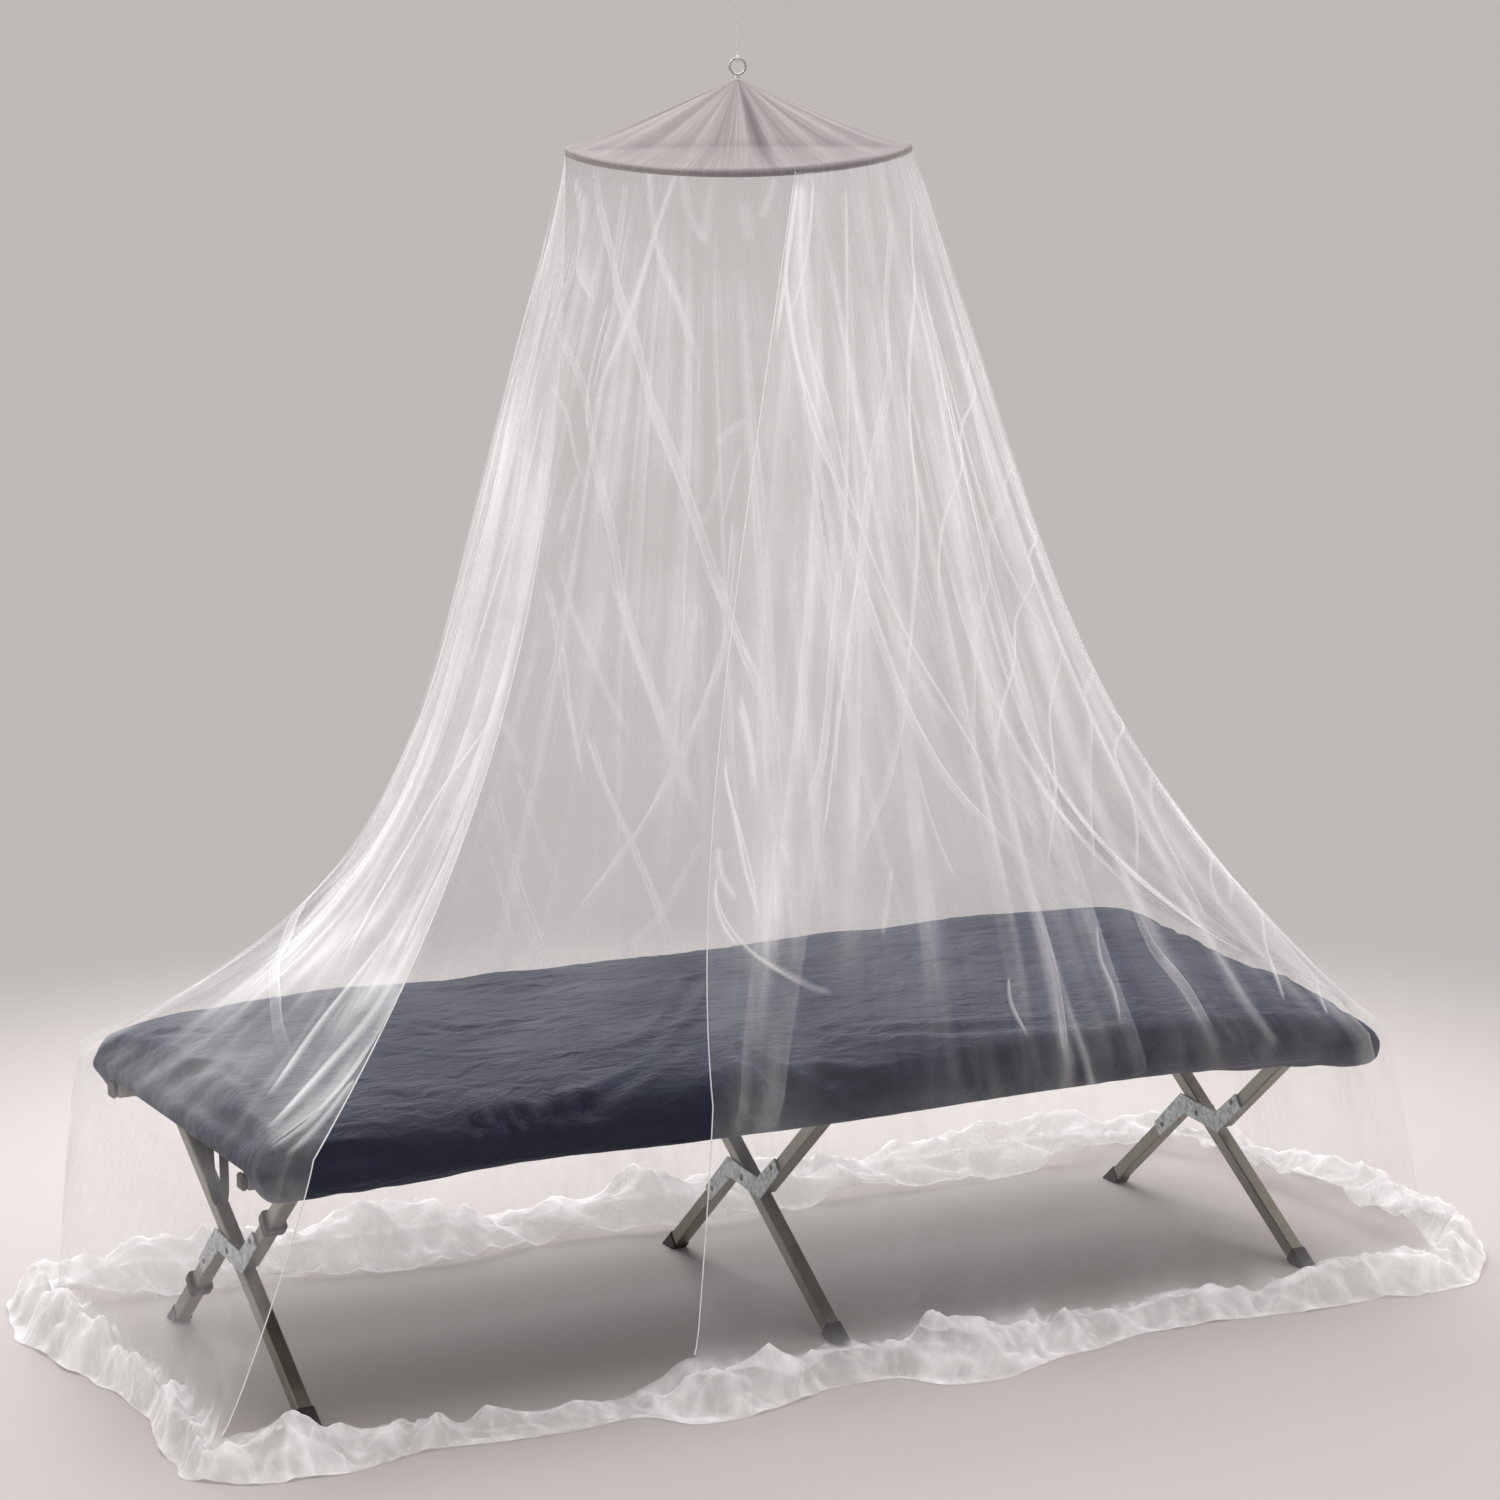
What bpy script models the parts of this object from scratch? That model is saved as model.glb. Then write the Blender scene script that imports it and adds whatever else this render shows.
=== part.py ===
"""Mosquito net canopy hung over a folding camp bed.

A round hoop on a cord carries a roof cone and one long sheer skirt. The skirt
is open between two bound edges, falls over the edges of the padded bed and
lies piled on the floor. Metres, +Z up, +X along the bed, origin at the bottom
centre of the whole.
"""
import math

import bmesh
import bpy
from mathutils import Matrix, Vector

# ---------------------------------------------------------------- dimensions
GAP = 0.0003            # between neighbouring pieces
NET_THICK = 0.0020      # net sheet as built
HOOP_RADIUS = 0.263     # centre line of the hoop wire
HOOP_Z = 1.836          # height of the level rear half of the hoop
HOOP_WIRE = 0.0060      # hoop wire diameter
HOOP_DROP = 0.030       # how far the near half of the hoop sags
HOOP_DROP_DEG = 243.8   # where it sags most
APEX_Z = 1.943          # top of the roof cone
SEAM_OFFSET = 0.0055    # roof and skirt meet this far outside the wire centre

RING_Z = 1.9615         # centre of the hanging ring
RING_OUTER = 0.028
RING_WIRE = 0.0032
RING_TURN_DEG = -26.2   # the ring's plane, about Z
SHANK_DIA = 0.0050

CORD_DIA = 0.0036
CORD_TOP = 2.0880       # where the end loop begins
CORD_LOOP = 0.0280      # mean diameter of the end loop

PAD_UNDER = 0.4030      # underside of the pad on the deck
RAIL_Y = 0.303
RAIL_SIZE = 0.024
RAIL_TOP = 0.398
RAIL_X = (-0.958, 0.905)
DECK_THICK = 0.002
DECK_X = (-0.930, 0.900)
DECK_SKIRT = 0.020      # how far the deck wraps down the rails

PAIR_X = (-0.869, 0.005, 0.869)   # planes of the three crossed leg pairs
FOOT_Y = 0.300
TUBE = 0.024            # square tube of the legs
FOOT_LENGTH = 0.028
LEG_B_TOP_Y = -0.300    # upper part of leg B, under the front rail
LEG_B_SLOPE_DEG = 38.8
LEG_B_STOP = 0.031      # both parts of leg B stop this far from leg A
PLATE_THICK = 0.003

# ------------------------------------------------------------------- tables
# One row for each main rib of the skirt, from the entrance's right edge
# counter-clockwise (seen from above) to its left edge.
#   steps   grid columns up to the next row
#   hoop    degrees round the hoop
#   ex ey ez  where the rib passes over the edge of the pad
#   lean, power  profile from hoop to pad edge, see profile()
#   fx fy fz  where the hanging wall reaches the pile on the floor
#   hx hy   the hem on the floor
#   crest   height of the pile
RIB_COLUMNS = ("steps", "hoop", "ex", "ey", "ez", "lean", "power",
               "fx", "fy", "fz", "hx", "hy", "crest")
RIBS = [
    (2, -97.3, -0.266, -0.428, 0.440, 1.60, 4.0, -0.300, -0.432, 0.060, -0.330, -0.560, 0.048),
    (4, -86.0, -0.060, -0.430, 0.440, 1.30, 3.6, -0.060, -0.436, 0.045, -0.020, -0.508, 0.040),
    (4, -70.0, 0.220, -0.430, 0.442, 0.95, 3.2, 0.230, -0.432, 0.045, 0.100, -0.585, 0.046),
    (4, -55.0, 0.480, -0.430, 0.440, 0.74, 3.3, 0.500, -0.432, 0.042, 0.500, -0.500, 0.040),
    (4, -42.0, 0.720, -0.432, 0.432, 0.60, 3.4, 0.760, -0.434, 0.045, 0.800, -0.520, 0.046),
    (3, -32.0, 0.905, -0.436, 0.412, 0.51, 3.6, 0.965, -0.438, 0.050, 1.010, -0.540, 0.050),
    (3, -24.0, 0.972, -0.350, 0.412, 0.50, 3.9, 1.050, -0.380, 0.055, 1.175, -0.400, 0.055),
    (3, -10.0, 0.984, -0.150, 0.430, 0.42, 5.5, 1.060, -0.160, 0.060, 1.235, -0.150, 0.060),
    (3, 8.0, 0.986, 0.120, 0.445, 0.42, 5.5, 1.055, 0.130, 0.060, 1.205, 0.130, 0.055),
    (3, 22.0, 0.980, 0.340, 0.460, 0.46, 4.5, 1.045, 0.360, 0.050, 1.165, 0.440, 0.054),
    (4, 31.0, 0.900, 0.440, 0.468, 0.52, 3.9, 0.975, 0.420, 0.020, 1.010, 0.585, 0.052),
    (4, 46.0, 0.660, 0.440, 0.472, 0.70, 3.4, 0.690, 0.400, 0.010, 0.710, 0.600, 0.062),
    (4, 61.0, 0.400, 0.438, 0.476, 0.75, 3.0, 0.410, 0.395, 0.009, 0.420, 0.625, 0.046),
    (4, 76.0, 0.140, 0.438, 0.474, 0.78, 3.0, 0.140, 0.372, 0.009, 0.130, 0.600, 0.066),
    (4, 92.0, -0.120, 0.438, 0.470, 0.78, 3.0, -0.130, 0.390, 0.009, -0.140, 0.630, 0.048),
    (4, 107.0, -0.380, 0.438, 0.468, 0.74, 3.2, -0.390, 0.368, 0.009, -0.400, 0.605, 0.078),
    (4, 120.0, -0.620, 0.440, 0.466, 0.68, 3.8, -0.640, 0.392, 0.009, -0.640, 0.625, 0.056),
    (4, 131.0, -0.840, 0.442, 0.460, 0.45, 8.0, -0.900, 0.420, 0.016, -0.930, 0.610, 0.060),
    (3, 139.0, -0.980, 0.400, 0.446, 0.45, 8.0, -1.030, 0.400, 0.055, -1.085, 0.540, 0.074),
    (3, 144.0, -0.994, 0.220, 0.448, 0.44, 7.4, -1.036, 0.240, 0.070, -1.125, 0.220, 0.070),
    (3, 148.0, -0.998, 0.000, 0.448, 0.42, 6.6, -1.030, 0.000, 0.065, -1.075, -0.020, 0.060),
    (3, 152.0, -0.994, -0.220, 0.446, 0.32, 5.0, -1.020, -0.220, 0.060, -1.085, -0.240, 0.056),
    (3, 155.0, -0.978, -0.400, 0.440, 0.20, 3.6, -1.030, -0.352, 0.058, -1.095, -0.388, 0.052),
    (3, 158.0, -0.903, -0.436, 0.442, 0.10, 2.75, -1.044, -0.424, 0.050, -1.056, -0.490, 0.044),
    # past the left edge only the floor pile goes on, across the entrance
    (3, 171.0, 0.0, 0.0, 0.0, 0.0, 1.0, -0.900, -0.396, 0.040, -0.900, -0.512, 0.060),
    (3, 195.0, 0.0, 0.0, 0.0, 0.0, 1.0, -0.720, -0.420, 0.012, -0.740, -0.492, 0.036),
    (3, 215.0, 0.0, 0.0, 0.0, 0.0, 1.0, -0.580, -0.410, 0.010, -0.580, -0.500, 0.030),
    (3, 238.0, 0.0, 0.0, 0.0, 0.0, 1.0, -0.420, -0.420, 0.010, -0.430, -0.488, 0.016),
]
LEFT_EDGE_ROW = 23      # the row of RIBS at the entrance's left edge

# Main folds of the hanging skirt: ridges that stand out of the sheet.
#   top, low  degrees round the hoop, at the hoop and at the pad edge
#   width     half width in degrees
#   height    metres, where the ribs are far enough apart
FOLD_COLUMNS = ("top", "low", "width", "height")
FOLDS = [
    (-88.0, -90.0, 3.6, 0.019),
    (-79.0, -64.0, 3.8, 0.022),
    (-63.0, -52.0, 4.0, 0.018),
    (-50.0, -40.0, 4.0, 0.022),
    (-38.0, -31.0, 3.6, 0.019),
    (-27.0, -22.0, 3.2, 0.016),
    (-12.0, -8.0, 4.5, 0.019),
    (6.0, 10.0, 4.5, 0.018),
    (20.0, 25.0, 3.6, 0.018),
    (38.0, 40.0, 4.0, 0.022),
    (52.0, 60.0, 4.5, 0.024),
    (70.0, 66.0, 4.5, 0.019),
    (84.0, 92.0, 4.5, 0.024),
    (99.0, 96.0, 4.0, 0.019),
    (112.0, 118.0, 4.5, 0.024),
    (126.0, 124.0, 3.6, 0.019),
    (134.0, 135.0, 3.0, 0.016),
    (141.0, 142.0, 2.4, 0.014),
    (146.5, 147.0, 2.2, 0.014),
    (151.5, 151.0, 2.0, 0.014),
]

# Lobes of the pile on the floor: degrees, half width, extra height
LOBE_COLUMNS = ("at", "width", "rise")
LOBES = [
    (-92.0, 3.5, 0.020), (-76.0, 4.0, 0.010), (-62.0, 3.5, -0.012),
    (-47.0, 4.5, 0.014), (-36.0, 3.0, -0.012), (-17.0, 4.0, 0.012),
    (2.0, 4.0, -0.012), (16.0, 3.5, 0.014), (40.0, 4.0, 0.012),
    (54.0, 4.0, -0.014), (84.0, 4.0, 0.014), (101.0, 4.0, -0.014),
    (125.0, 4.0, 0.012), (146.0, 1.8, 0.010), (153.5, 1.6, -0.010),
    (164.0, 4.0, 0.012), (183.0, 5.0, -0.014), (226.0, 5.0, 0.012),
]

# Sections of the pad, left to right.
#   half   half width          back, mid, front  heights of its top
#   side   height of its widest point
#   hang   lowest point of the side that droops over the rail
#   under  height of its underside
PAD_COLUMNS = ("x", "half", "back", "mid", "front", "side", "hang", "under")
PAD = [
    (-0.962, 0.372, 0.424, 0.428, 0.414, 0.406, 0.388, 0.4010),
    (-0.948, 0.400, 0.444, 0.446, 0.438, 0.412, 0.368, 0.4016),
    (-0.934, 0.408, 0.456, 0.458, 0.450, 0.416, 0.362, 0.4022),
    (-0.820, 0.412, 0.470, 0.472, 0.462, 0.420, 0.356, PAD_UNDER),
    (-0.560, 0.404, 0.474, 0.478, 0.464, 0.422, 0.358, PAD_UNDER),
    (-0.280, 0.398, 0.472, 0.482, 0.466, 0.420, 0.352, PAD_UNDER),
    (0.000, 0.400, 0.476, 0.484, 0.464, 0.420, 0.350, PAD_UNDER),
    (0.260, 0.404, 0.482, 0.488, 0.466, 0.424, 0.356, PAD_UNDER),
    (0.520, 0.402, 0.486, 0.488, 0.462, 0.424, 0.358, PAD_UNDER),
    (0.740, 0.406, 0.484, 0.476, 0.450, 0.414, 0.352, PAD_UNDER),
    (0.870, 0.410, 0.476, 0.458, 0.432, 0.402, 0.346, PAD_UNDER),
    (0.912, 0.410, 0.468, 0.448, 0.420, 0.396, 0.342, PAD_UNDER - 0.001),
    (0.942, 0.404, 0.454, 0.430, 0.404, 0.386, 0.342, 0.3820),
    (0.954, 0.380, 0.434, 0.412, 0.392, 0.376, 0.350, 0.3700),
]

MATERIALS = {
    #  name            red    green  blue   alpha  rough  metal
    "net_white":      (0.860, 0.850, 0.850, 0.35, 0.85, 0.0),
    "roof_fabric":    (0.480, 0.440, 0.440, 0.80, 0.85, 0.0),
    "binding_white":  (0.900, 0.895, 0.890, 1.0, 0.70, 0.0),
    "hoop_wire":      (0.100, 0.085, 0.085, 1.0, 0.45, 0.6),
    "ring_metal":     (0.420, 0.420, 0.425, 1.0, 0.30, 1.0),
    "cord_white":     (0.900, 0.900, 0.900, 1.0, 0.70, 0.0),
    "pad_navy":       (0.040, 0.055, 0.100, 1.0, 0.60, 0.0),
    "deck_grey":      (0.100, 0.105, 0.115, 1.0, 0.85, 0.0),
    "aluminium_olive": (0.300, 0.290, 0.245, 1.0, 0.45, 1.0),
    "plate_zinc":     (0.560, 0.610, 0.620, 1.0, 0.40, 1.0),
    "plastic_dark":   (0.045, 0.040, 0.042, 1.0, 0.50, 0.0),
    "strap_dark":     (0.050, 0.050, 0.060, 1.0, 0.85, 0.0),
}


# ------------------------------------------------------------------ helpers
def clear_scene():
    for obj in list(bpy.data.objects):
        bpy.data.objects.remove(obj, do_unlink=True)


def material(name):
    found = bpy.data.materials.get(name)
    if found:
        return found
    red, green, blue, alpha, rough, metal = MATERIALS[name]
    mat = bpy.data.materials.new(name)
    mat.use_nodes = True
    shader = mat.node_tree.nodes["Principled BSDF"]
    shader.inputs["Base Color"].default_value = (red, green, blue, 1.0)
    shader.inputs["Roughness"].default_value = rough
    shader.inputs["Metallic"].default_value = metal
    shader.inputs["Alpha"].default_value = alpha
    mat.diffuse_color = (red, green, blue, 1.0)
    return mat


def add_mesh(name, verts, faces, mat, smooth=True, sharp_deg=40.0):
    mesh = bpy.data.meshes.new(name)
    mesh.from_pydata([tuple(v) for v in verts], [], faces)
    mesh.validate()
    work = bmesh.new()
    work.from_mesh(mesh)
    bmesh.ops.recalc_face_normals(work, faces=work.faces)
    if work.calc_volume(signed=True) < 0:
        bmesh.ops.reverse_faces(work, faces=work.faces)
    work.to_mesh(mesh)
    work.free()
    mesh.materials.append(material(mat))
    if smooth:
        mesh.shade_smooth()
        mesh.set_sharp_from_angle(angle=math.radians(sharp_deg))
    obj = bpy.data.objects.new(name, mesh)
    bpy.context.scene.collection.objects.link(obj)
    return obj


def named_rows(columns, rows):
    return [dict(zip(columns, row)) for row in rows]


def catmull(p0, p1, p2, p3, t):
    return 0.5 * (2 * p1 + (p2 - p0) * t + (2 * p0 - 5 * p1 + 4 * p2 - p3) * t * t
                  + (3 * p1 - p0 - 3 * p2 + p3) * t ** 3)


def lerp(a, b, t):
    return a + (b - a) * t


def smoothstep(a, b, x):
    t = min(1.0, max(0.0, (x - a) / (b - a)))
    return t * t * (3.0 - 2.0 * t)


def hoop_point(deg, out=0.0, up=0.0):
    """A point on the hoop's centre line, moved outward and up."""
    near = max(0.0, math.cos(math.radians(deg - HOOP_DROP_DEG)))
    z = HOOP_Z - HOOP_DROP * near ** 1.4
    r = HOOP_RADIUS + out
    a = math.radians(deg)
    return Vector((r * math.cos(a), r * math.sin(a), z + up))


def tube_mesh(name, path, radius, sides, mat, closed):
    """A round tube along points, closed on itself or with flat ends."""
    count = len(path)
    verts, faces = [], []
    for i, p in enumerate(path):
        before = path[i - 1] if (closed or i) else path[0]
        after = path[(i + 1) % count] if (closed or i < count - 1) else path[-1]
        along = (after - before).normalized()
        side = along.cross(Vector((0, 0, 1)))
        if side.length < 1e-4:
            side = Vector((1, 0, 0))
        side.normalize()
        up = side.cross(along).normalized()
        for k in range(sides):
            a = 2 * math.pi * k / sides
            verts.append(p + side * (radius * math.cos(a)) + up * (radius * math.sin(a)))
    spans = count if closed else count - 1
    for i in range(spans):
        j = (i + 1) % count
        for k in range(sides):
            m = (k + 1) % sides
            faces.append((i * sides + k, i * sides + m, j * sides + m, j * sides + k))
    if not closed:
        faces.append(tuple(range(sides)))
        faces.append(tuple((count - 1) * sides + k for k in reversed(range(sides))))
    return add_mesh(name, verts, faces, mat)


def thicken(name, points, quads, mat, thick, floor=None):
    """A closed sheet of even thickness on a grid of middle points."""
    work = bmesh.new()
    verts = [work.verts.new(p) for p in points]
    for quad in quads:
        work.faces.new([verts[i] for i in quad])
    work.normal_update()
    normals = [v.normal.copy() for v in verts]
    index = {v: i for i, v in enumerate(verts)}
    rim = []
    for e in work.edges:
        if len(e.link_faces) == 1:
            face = e.link_faces[0]
            loop = [l for l in face.loops if l.edge == e][0]
            rim.append((index[loop.vert], index[loop.link_loop_next.vert]))
    work.free()
    half = thick / 2
    top = [Vector(p) + n * half for p, n in zip(points, normals)]
    low = [Vector(p) - n * half for p, n in zip(points, normals)]
    if floor is not None:
        for t, l in zip(top, low):
            # the two skins stay apart where the sheet lies on the floor
            down, up = (l, t) if l.z < t.z else (t, l)
            if down.z < floor:
                down.z = floor
            if up.z < floor + 0.0016:
                up.z = floor + 0.0016
    # both skins are cut along the same, shorter diagonal
    skin = []
    for q in quads:
        if len(q) == 3:
            skin.append(tuple(q))
            continue
        a, b, c, d = q
        if (points[a] - points[c]).length <= (points[b] - points[d]).length:
            skin += [(a, b, c), (a, c, d)]
        else:
            skin += [(a, b, d), (b, c, d)]
    count = len(points)
    faces = list(skin)
    faces += [tuple(i + count for i in reversed(q)) for q in skin]
    faces += [(b, a, a + count, b + count) for a, b in rim]
    return add_mesh(name, top + low, faces, mat, sharp_deg=60.0)


# --------------------------------------------------------------------- roof
def build_roof():
    around, rings = 40, 7
    #           part of the radius, drop from the apex (0..1)
    profile = [(0.06, 0.055), (0.20, 0.215), (0.38, 0.420), (0.58, 0.640),
               (0.78, 0.845), (0.93, 0.962), (1.00, 1.0)]
    points = [Vector((0, 0, APEX_Z - NET_THICK / 2))]
    for part, drop in profile[:rings]:
        for i in range(around):
            deg = 360.0 * i / around
            rim = hoop_point(deg, SEAM_OFFSET, 0.0052)
            fold = 0.0028 * math.sin(math.radians(deg) * 12) * math.sin(math.pi * part)
            fold += 0.0016 * math.sin(math.radians(deg) * 7 + 1.0) * math.sin(math.pi * part)
            edge = hoop_point(deg, -0.002, 0.0062)
            z = lerp(APEX_Z - NET_THICK / 2, edge.z, drop) + fold
            p = Vector((edge.x * part, edge.y * part, z))
            points.append(p)
    # two more rings carry the sheet over the wire and down its outer side
    for out, up in ((0.0035, 0.0052), (SEAM_OFFSET, 0.0006)):
        for i in range(around):
            points.append(hoop_point(360.0 * i / around, out, up))
    total = rings + 2
    quads = []
    for i in range(around):
        j = (i + 1) % around
        quads.append((0, 1 + i, 1 + j))
        for r in range(total - 1):
            a, b = 1 + r * around, 1 + (r + 1) * around
            quads.append((a + i, b + i, b + j, a + j))
    return thicken("net_roof", points, quads, "roof_fabric", NET_THICK)


# -------------------------------------------------------------------- skirt
WALL_UPPER = 11         # rows from the hoop to the pad edge
WALL_LOWER = 4          # rows from the pad edge to the pile
PILE_ROWS = 6


def skirt_columns():
    """Smoothly interpolated ribs: one dict for each grid column."""
    rows = named_rows(RIB_COLUMNS, RIBS)
    count = len(rows)
    out = []
    left_edge = 0
    for i, row in enumerate(rows):
        if i == LEFT_EDGE_ROW:
            left_edge = len(out)
        nxt = rows[(i + 1) % count]
        prev, after = rows[i - 1], rows[(i + 2) % count]
        wall = i < LEFT_EDGE_ROW
        for s in range(int(row["steps"])):
            t = s / row["steps"]
            rib = {}
            for key in RIB_COLUMNS[1:]:
                p0, p1, p2, p3 = prev[key], row[key], nxt[key], after[key]
                if key == "hoop":
                    if i == 0:
                        p0 = p1 - 9.0
                    if i == count - 1:
                        p2, p3 = p2 + 360.0, p3 + 360.0
                    if i == count - 2:
                        p3 = p3 + 360.0
                elif wall and key in ("ex", "ey", "ez", "lean", "power"):
                    if i == 0:
                        p0 = p1 - (p2 - p1)
                    if i + 1 == LEFT_EDGE_ROW:
                        p3 = p2 + (p2 - p1)
                rib[key] = catmull(p0, p1, p2, p3, t)
            out.append(rib)
    return out, left_edge


def profile(rib, u):
    """How far a rib has gone from the hoop to the pad edge at depth u."""
    return rib["lean"] * u + (1.0 - rib["lean"]) * u ** rib["power"]


def fold_height(deg, v, spread):
    """Height of the ridges at v (0 hoop, 1 pad edge, 2 floor)."""
    total = 0.0
    for fold in named_rows(FOLD_COLUMNS, FOLDS):
        centre = lerp(fold["top"], fold["low"], min(v, 1.0))
        off = (deg - centre) / fold["width"]
        total += fold["height"] * math.exp(-off * off)
    room = min(1.0, spread / 0.050)
    fade = smoothstep(0.0, 0.25, v) * (1.0 - 0.75 * math.exp(-((v - 1.0) / 0.10) ** 2))
    if v > 1.0:
        fade *= 1.0 - 0.7 * smoothstep(1.5, 2.0, v)
    return total * room * fade


def rib_points(rib):
    """Middle points of one column, from the hoop to the hem."""
    top = hoop_point(rib["hoop"], SEAM_OFFSET, -0.0008)
    edge = Vector((rib["ex"], rib["ey"], rib["ez"]))
    foot = Vector((rib["fx"], rib["fy"], rib["fz"]))
    # dense path, then even steps along it
    dense = []
    for k in range(61):
        u = k / 60
        f = profile(rib, u)
        dense.append(Vector((lerp(top.x, edge.x, f), lerp(top.y, edge.y, f),
                             lerp(top.z, edge.z, u))))
    length = [0.0]
    for a, b in zip(dense, dense[1:]):
        length.append(length[-1] + (b - a).length)
    upper = []
    for r in range(WALL_UPPER):
        want = length[-1] * (r / WALL_UPPER) ** 1.0
        k = max(i for i in range(61) if length[i] <= want + 1e-9)
        if k == 60:
            upper.append(dense[60].copy())
            continue
        part = (want - length[k]) / (length[k + 1] - length[k])
        upper.append(dense[k].lerp(dense[k + 1], part))
    lower = []
    for r in range(WALL_LOWER):
        t = r / WALL_LOWER
        g = 0.35 * t + 0.65 * t ** 1.25
        lower.append(Vector((lerp(edge.x, foot.x, g), lerp(edge.y, foot.y, g),
                             lerp(edge.z, foot.z, t))))
    return upper + lower


def pile_points(rib):
    """Middle points of the pile on the floor, from the wall to the hem."""
    foot = Vector((rib["fx"], rib["fy"], rib["fz"]))
    hem = Vector((rib["hx"], rib["hy"], 0.001))
    crest = rib["crest"]
    for lobe in named_rows(LOBE_COLUMNS, LOBES):
        off = (rib["hoop"] - lobe["at"]) / lobe["width"]
        crest += lobe["rise"] * math.exp(-off * off)
    crest = max(0.012, crest)
    flat = min(foot.z, crest)
    #       part of the way out, height
    rows = [(0.00, foot.z), (0.20, max(flat * 0.80, crest * 0.55)), (0.42, crest),
            (0.60, crest * 0.72), (0.78, crest * 0.34), (0.90, 0.0060), (1.00, 0.0010)]
    out = []
    for part, z in rows:
        out.append(Vector((lerp(foot.x, hem.x, part), lerp(foot.y, hem.y, part), max(0.001, z))))
    return out


def build_skirt():
    ribs, left_edge = skirt_columns()
    count = len(ribs)
    upper_rows = WALL_UPPER + WALL_LOWER
    points, grid = [], {}
    walls = [rib_points(rib) for rib in ribs[:left_edge + 1]]
    for c, rib in enumerate(ribs):
        if c <= left_edge:
            wall = walls[c]
            a = walls[max(0, c - 1)]
            b = walls[min(left_edge, c + 1)]
            for r, p in enumerate(wall):
                across = b[r] - a[r]
                spread = across.length / (1 if c in (0, left_edge) else 2) * 2.2
                down = wall[min(r + 1, upper_rows - 1)] - wall[max(0, r - 1)]
                out = across.cross(down)
                if out.length > 1e-9:
                    out.normalize()
                    if out.dot(Vector((p.x, p.y, 0.15))) < 0:
                        out = -out
                v = r / WALL_UPPER if r <= WALL_UPPER else 1.0 + (r - WALL_UPPER) / WALL_LOWER
                lift = fold_height(rib["hoop"], v, spread)
                if c in (0, left_edge):
                    lift *= 0.3
                grid[c, r] = len(points)
                points.append(p + out * lift)
        for k, p in enumerate(pile_points(rib)):
            grid[c, upper_rows + k] = len(points)
            points.append(p)
    quads = []
    total_rows = upper_rows + PILE_ROWS + 1
    for c in range(count):
        d = (c + 1) % count
        for r in range(total_rows - 1):
            corners = [(c, r), (c, r + 1), (d, r + 1), (d, r)]
            if all(k in grid for k in corners):
                if c >= left_edge and r < upper_rows:
                    continue
                quads.append(tuple(grid[k] for k in corners))
    thicken("net_skirt", points, quads, "net_white", NET_THICK, floor=0.0)
    right = [points[grid[0, r]] for r in range(upper_rows + 1)]
    left = [points[grid[left_edge, r]] for r in range(upper_rows + 1)]
    return right, left


def build_binding(name, edge, side):
    """A narrow rolled binding just beside a free edge."""
    radius = 0.0016
    path = [p + side(p) * (NET_THICK / 2 + radius + GAP * 2) for p in edge]
    path[0] = path[0] + Vector((0, 0, -0.004))
    path[-1] = path[-1] + Vector((0, 0, 0.006))
    fine = []
    for i in range(len(path) - 1):
        p0, p1 = path[max(0, i - 1)], path[i]
        p2, p3 = path[i + 1], path[min(len(path) - 1, i + 2)]
        for s in range(2):
            t = s / 2
            fine.append(Vector([catmull(p0[k], p1[k], p2[k], p3[k], t) for k in range(3)]))
    fine.append(path[-1])
    return tube_mesh(name, fine, radius, 6, "binding_white", False)


# ---------------------------------------------------------- hoop, ring, cord
def build_hoop():
    path = [hoop_point(360.0 * i / 60) for i in range(60)]
    tube_mesh("spreader_hoop", path, HOOP_WIRE / 2, 8, "hoop_wire", True)


def build_ring():
    turn = Matrix.Rotation(math.radians(RING_TURN_DEG), 4, "Z")
    radius = (RING_OUTER - RING_WIRE) / 2
    centre = Vector((0, 0, RING_Z))
    path = [centre + turn @ Vector((radius * math.sin(2 * math.pi * i / 28), 0,
                                    radius * math.cos(2 * math.pi * i / 28))) for i in range(28)]
    verts, faces = [], []
    sides = 8
    for i, p in enumerate(path):
        away = (p - centre).normalized()
        flat = turn @ Vector((0, 1, 0))
        for k in range(sides):
            a = 2 * math.pi * k / sides
            verts.append(p + away * (RING_WIRE / 2 * math.cos(a)) + flat * (RING_WIRE / 2 * math.sin(a)))
    for i in range(28):
        j = (i + 1) % 28
        for k in range(sides):
            m = (k + 1) % sides
            faces.append((i * sides + k, i * sides + m, j * sides + m, j * sides + k))
    ring = add_mesh("hanging_ring", verts, faces, "ring_metal")
    # short shank from the ring down to the apex
    low = APEX_Z + GAP
    high = RING_Z - RING_OUTER / 2 + RING_WIRE * 0.7
    work = bmesh.new()
    bmesh.ops.create_cone(work, cap_ends=True, segments=12, radius1=SHANK_DIA / 2 + 0.0012,
                          radius2=SHANK_DIA / 2 - 0.0006, depth=high - low)
    bmesh.ops.translate(work, verts=work.verts, vec=(0, 0, (high + low) / 2))
    mesh = bpy.data.meshes.new("shank_guide")
    work.to_mesh(mesh)
    work.free()
    mesh.materials.append(material("ring_metal"))
    shank = bpy.data.objects.new("shank_guide", mesh)
    bpy.context.scene.collection.objects.link(shank)
    shank.hide_render = True
    shank.display_type = "WIRE"
    join = ring.modifiers.new("shank", "BOOLEAN")
    join.operation = "UNION"
    join.solver = "EXACT"
    join.object = shank


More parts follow.
